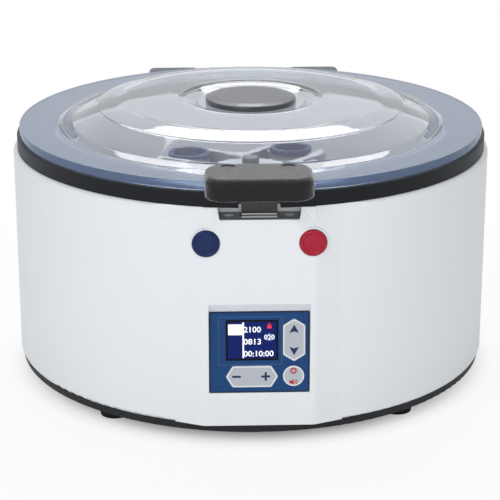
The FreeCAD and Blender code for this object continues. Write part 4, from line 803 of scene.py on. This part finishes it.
digits("display_time", "00:10:00", SIX_DIGITS, NUMBER_HEIGHT, NUMBER_LEFT, ROWS["time"], INK, PIXEL_WHITE)
printed("display_lock", [box_outline(6.6, 10.0, 55.2, 57.8, 0.3)], INK, PIXEL_RED)
bordered("display_lock_bow", box_outline(7.3, 9.3, 57.1, 59.3, 0.9), 0.55, INK, PIXEL_RED)
digits("display_step", "020", 8.6, 4.4, 4.0, 47.7, INK, PIXEL_WHITE)
bordered("display_step_ring", circle((8.3, 47.7), 2.9, 40), 0.4, INK + 0.05, PIXEL_BLUE)

# %% [markdown]
# ## Keys and borders
#
# Each key has a white outline just inside its edge, and its sign in the middle. The signs ride on their keys,
# so they move when a key is pressed.

# %% Draw the keys
UP_DOWN = (28.7, 45.25)
MINUS_PLUS = (-6.15, 14.0)
SETTINGS = (28.3, 14.2)
OUTLINE_WIDTH = 0.8
SLANT = 0.62
CORNER_RADIUS = 2.4


def hexagon(centre, half_width, half_height, upright):
    """An elongated hexagon with rounded corners, as the two large keys have.

    Its ends slant over a length of SLANT times the half of its narrow side.
    """
    x, y = centre
    if upright:
        edge = half_height - half_width * SLANT
        corners = [(x, y - half_height), (x + half_width, y - edge), (x + half_width, y + edge),
                   (x, y + half_height), (x - half_width, y + edge), (x - half_width, y - edge)]
    else:
        edge = half_width - half_height * SLANT
        corners = [(x - half_width, y), (x - edge, y - half_height), (x + edge, y - half_height),
                   (x + half_width, y), (x + edge, y + half_height), (x - edge, y + half_height)]
    return finer(rounded([(*corner, CORNER_RADIUS) for corner in corners], step=12.0), 3.0)


bordered("up_down_outline", hexagon(UP_DOWN, 8.4, 17.4, True), OUTLINE_WIDTH, KEY_FACE, PRINT_WHITE,
         "up_down_key")
bordered("minus_plus_outline", hexagon(MINUS_PLUS, 20.7, 8.4, False), OUTLINE_WIDTH, KEY_FACE, PRINT_WHITE,
         "minus_plus_key")
bordered("settings_outline", circle(SETTINGS, 8.1), OUTLINE_WIDTH, KEY_FACE, PRINT_WHITE, "settings_key")

# %% Signs on the keys


def arrow(centre, up):
    """An arrowhead with a notch in its foot. up is 1 or -1, the way that it points."""
    outline = np.array([(-4.0, 6.0), (0.0, 7.3), (4.0, 6.0), (0.0, 13.2)])
    return outline * (1, up) + centre


def plus(centre, reach, half_width):
    """The twelve corners of a plus sign: one arm, placed four times, each a quarter turn further."""
    arm = np.array([(half_width, half_width), (half_width, reach), (-half_width, reach)])
    quarter_turn = np.array([(0, 1), (-1, 0)])
    corners = [arm @ np.linalg.matrix_power(quarter_turn, turns) for turns in range(4)]
    return np.concatenate(corners) + centre


def sun(centre, inner, outer, rays=8):
    """A small sun: its radius swings between inner and outer, once for each ray."""
    angle = np.linspace(0, 2 * np.pi, rays * 16, endpoint=False)
    swing = (0.5 + 0.5 * np.cos(angle * rays)) ** 1.5
    radius = inner + (outer - inner) * swing
    return np.stack([centre[0] + radius * np.cos(angle), centre[1] + radius * np.sin(angle)], axis=-1)


def sound_wave(centre, radius, width, spread=50.0):
    """A band along an arc: outwards along its outer edge, and back along its inner one."""
    angle = np.radians(np.linspace(-spread, spread, 12))
    edge = np.stack([np.cos(angle), np.sin(angle)], axis=-1)
    return np.concatenate([edge * (radius + width), edge[::-1] * radius]) + centre


printed("up_down_arrows", [arrow(UP_DOWN, 1), arrow(UP_DOWN, -1)], KEY_FACE, PRINT_NAVY, "up_down_key")
x, y = MINUS_PLUS
STROKE_HALF = 0.9
printed("minus_plus_signs", [box_outline(x - 16.4, x - 9.2, y - STROKE_HALF, y + STROKE_HALF, 0.1),
                             plus((x + 11.4, y), 3.7, STROKE_HALF)], KEY_FACE, PRINT_NAVY, "minus_plus_key")
x, y = SETTINGS
bordered("settings_sun", sun((x, y + 4.5), 1.4, 3.0), 0.6, KEY_FACE, PRINT_RED, "settings_key")
printed("settings_horn", [[(x - 3.4, y - 6.4), (x - 2.0, y - 6.4), (x + 0.2, y - 7.6), (x + 0.2, y - 3.0),
                           (x - 2.0, y - 4.2), (x - 3.4, y - 4.2)],
                          sound_wave((x - 0.4, y - 5.3), 1.6, 0.6), sound_wave((x - 0.4, y - 5.3), 2.9, 0.7)],
        KEY_FACE, PRINT_RED, "settings_key")
half = (panel_high.x - panel_low.x) / 2
INSET = 0.6
WINDOW = (-33.4, 18.6, 24.2, 65.2)
bordered("panel_border", box_outline(-half + INSET, half - INSET, INSET, PANEL_HEIGHT - INSET, 1.6), 1.1, 0.0,
         PRINT_DARK)
bordered("window_line", box_outline(*WINDOW, 1.0), 0.35, 0.0, PRINT_PALE)

# %% [markdown]
# ## Floor, light and camera
#
# The photograph is a white studio picture. Its white comes from the floor and the world, and not from strong
# lamps: a camera ray that misses the machine meets plain white, while the machine is lit by a softer world
# and four soft lamps. A shiny surface should reflect the same room, so glossy and transmitted rays see it
# too: white paper above and behind the machine, and the darker half of the studio in front of it, which is
# what keeps the black rim and the front of the handle black.

# %% White room
ROOM_LIGHT = 0.47
ROOM_TINT = (0.955, 0.975, 1.0, 1)
FLOOR_HALF = 5000.0


def ramp(tree, value, start, end, low, high):
    """A value between start and end becomes one between low and high, with soft ends."""
    node = tree.nodes.new("ShaderNodeMapRange")
    node.interpolation_type = "SMOOTHSTEP"
    for label, number in [("From Min", start), ("From Max", end), ("To Min", low), ("To Max", high)]:
        node.inputs[label].default_value = number
    tree.links.new(value, node.inputs["Value"])
    return node.outputs["Result"]


def white_world():
    """The room round the machine: plain white for the camera, and softer in the light that it gives."""
    world = bpy.data.worlds.new("White room")
    bpy.context.scene.world = world
    world.use_nodes = True
    tree = world.node_tree
    ground = tree.nodes["Background"]
    ground.inputs["Color"].default_value = ROOM_TINT
    direction = tree.nodes.new("ShaderNodeSeparateXYZ")
    tree.links.new(tree.nodes.new("ShaderNodeTexCoord").outputs["Generated"], direction.inputs["Vector"])
    back_and_up = add_math(tree, "MULTIPLY_ADD", direction.outputs["Y"], 0.5,
                           add_math(tree, "MULTIPLY", direction.outputs["Z"], 0.8))
    room = ramp(tree, back_and_up, -0.35, 0.5, 0.22, 0.85)
    path = tree.nodes.new("ShaderNodeLightPath")
    seen = add_math(tree, "MAXIMUM", path.outputs["Is Camera Ray"], path.outputs["Is Transmission Ray"])
    mirrored = add_math(tree, "MULTIPLY", path.outputs["Is Glossy Ray"], room)
    diffuse = add_math(tree, "MULTIPLY", path.outputs["Is Diffuse Ray"], ROOM_LIGHT)
    strength = add_math(tree, "MAXIMUM", add_math(tree, "MAXIMUM", seen, mirrored), diffuse)
    tree.links.new(strength, ground.inputs["Strength"])


def white_floor():
    """A wide floor. A camera ray sees lit paper with the lamps' shadow under the machine, and plain white far
    off; in between, the white glow fades out towards the machine, a painted shade round it.
    """
    points = [(-FLOOR_HALF, -FLOOR_HALF, 0), (FLOOR_HALF, -FLOOR_HALF, 0),
              (FLOOR_HALF, FLOOR_HALF, 0), (-FLOOR_HALF, FLOOR_HALF, 0)]
    mesh = bpy.data.meshes.new("floor")
    mesh.from_pydata((np.array(points) * MM).tolist(), [], [[0, 1, 2, 3]])
    floor = bpy.data.objects.new("floor", mesh)
    bpy.context.scene.collection.objects.link(floor)
    material = bpy.data.materials.new("Floor paper")
    material.use_nodes = True
    tree = material.node_tree
    shader = tree.nodes["Principled BSDF"]
    shader.inputs["Base Color"].default_value = (0.9, 0.9, 0.9, 1)
    shader.inputs["Roughness"].default_value = 0.9
    shader.inputs["Specular IOR Level"].default_value = 0.1
    white = tree.nodes.new("ShaderNodeEmission")
    distance = tree.nodes.new("ShaderNodeVectorMath")
    distance.operation = "LENGTH"
    tree.links.new(tree.nodes.new("ShaderNodeTexCoord").outputs["Object"], distance.inputs[0])
    # painted shade: camera rays lose the white glow within 0.17 m of the axis, get most of it back by 0.23 m
    # and the rest by 0.6 m, so the floor darkens round the machine by distance alone
    painted_shade_fade = ramp(tree, distance.outputs["Value"], 0.17, 0.23, 0.0, 0.88)
    far = ramp(tree, distance.outputs["Value"], 0.25, 0.6, 0.0, 0.12)
    path = tree.nodes.new("ShaderNodeLightPath")
    share = add_math(tree, "MULTIPLY", path.outputs["Is Camera Ray"], add_math(tree, "ADD", painted_shade_fade, far))
    mix = tree.nodes.new("ShaderNodeMixShader")
    tree.links.new(share, mix.inputs["Fac"])
    tree.links.new(shader.outputs["BSDF"], mix.inputs[1])
    tree.links.new(white.outputs["Emission"], mix.inputs[2])
    tree.links.new(mix.outputs["Shader"], tree.nodes["Material Output"].inputs["Surface"])
    mesh.materials.append(material)


white_world()
white_floor()

# %% Soft lamps
# name, place, size and watts of each lamp
LAMPS = [
    ("key_lamp", (-1.0, -1.6, 1.8), (1.4, 1.4), 13.0),
    ("front_lamp", (-0.15, -2.2, 0.34), (1.0, 0.7), 10.8),
    ("fill_lamp", (1.7, -1.1, 1.2), (1.2, 1.2), 1.8),
    # this one stands behind and above, where the shoulder of the dome and the dish mirror it as white rings
    ("ceiling_lamp", (0.0, 1.29, 1.68), (1.4, 1.0), 18.0),
]


def soft_lamp(name, place, size, watts):
    """An area lamp, size[0] wide and size[1] high, that looks at the middle of the machine."""
    light = bpy.data.lights.new(name, "AREA")
    light.shape = "RECTANGLE"
    light.size, light.size_y = size
    light.energy = watts
    lamp = bpy.data.objects.new(name, light)
    lamp.location = place
    middle = (cad_low + cad_high) / 2
    lamp.rotation_euler = (middle - lamp.location).to_track_quat("-Z", "Y").to_euler()
    # the low lamp in front isn't mirrored, or the flat of the lid would glare when it is seen from behind
    lamp.visible_glossy = name != "front_lamp"
    bpy.context.scene.collection.objects.link(lamp)


for lamp in LAMPS:
    soft_lamp(*lamp)

# %% Camera
LENS_PIXELS = 1805.0
PICTURE_PIXELS = 500.0
SENSOR = 36.0
CAMERA_PLACE = (-0.0544, -1.594, 0.636)
CAMERA_TILT = 71.41
CAMERA_TURN = -1.933
camera_data = bpy.data.cameras.new("camera")
camera_data.sensor_width = SENSOR
camera_data.lens = LENS_PIXELS / PICTURE_PIXELS * SENSOR
camera_data.clip_end = 30.0
camera = bpy.data.objects.new("camera", camera_data)
camera.location = CAMERA_PLACE
camera.rotation_euler = (math.radians(CAMERA_TILT), 0.0, math.radians(CAMERA_TURN))
bpy.context.scene.collection.objects.link(camera)
bpy.context.scene.camera = camera
bpy.context.scene.view_settings.view_transform = "Standard"
print("lens", round(camera_data.lens, 1), "mm")
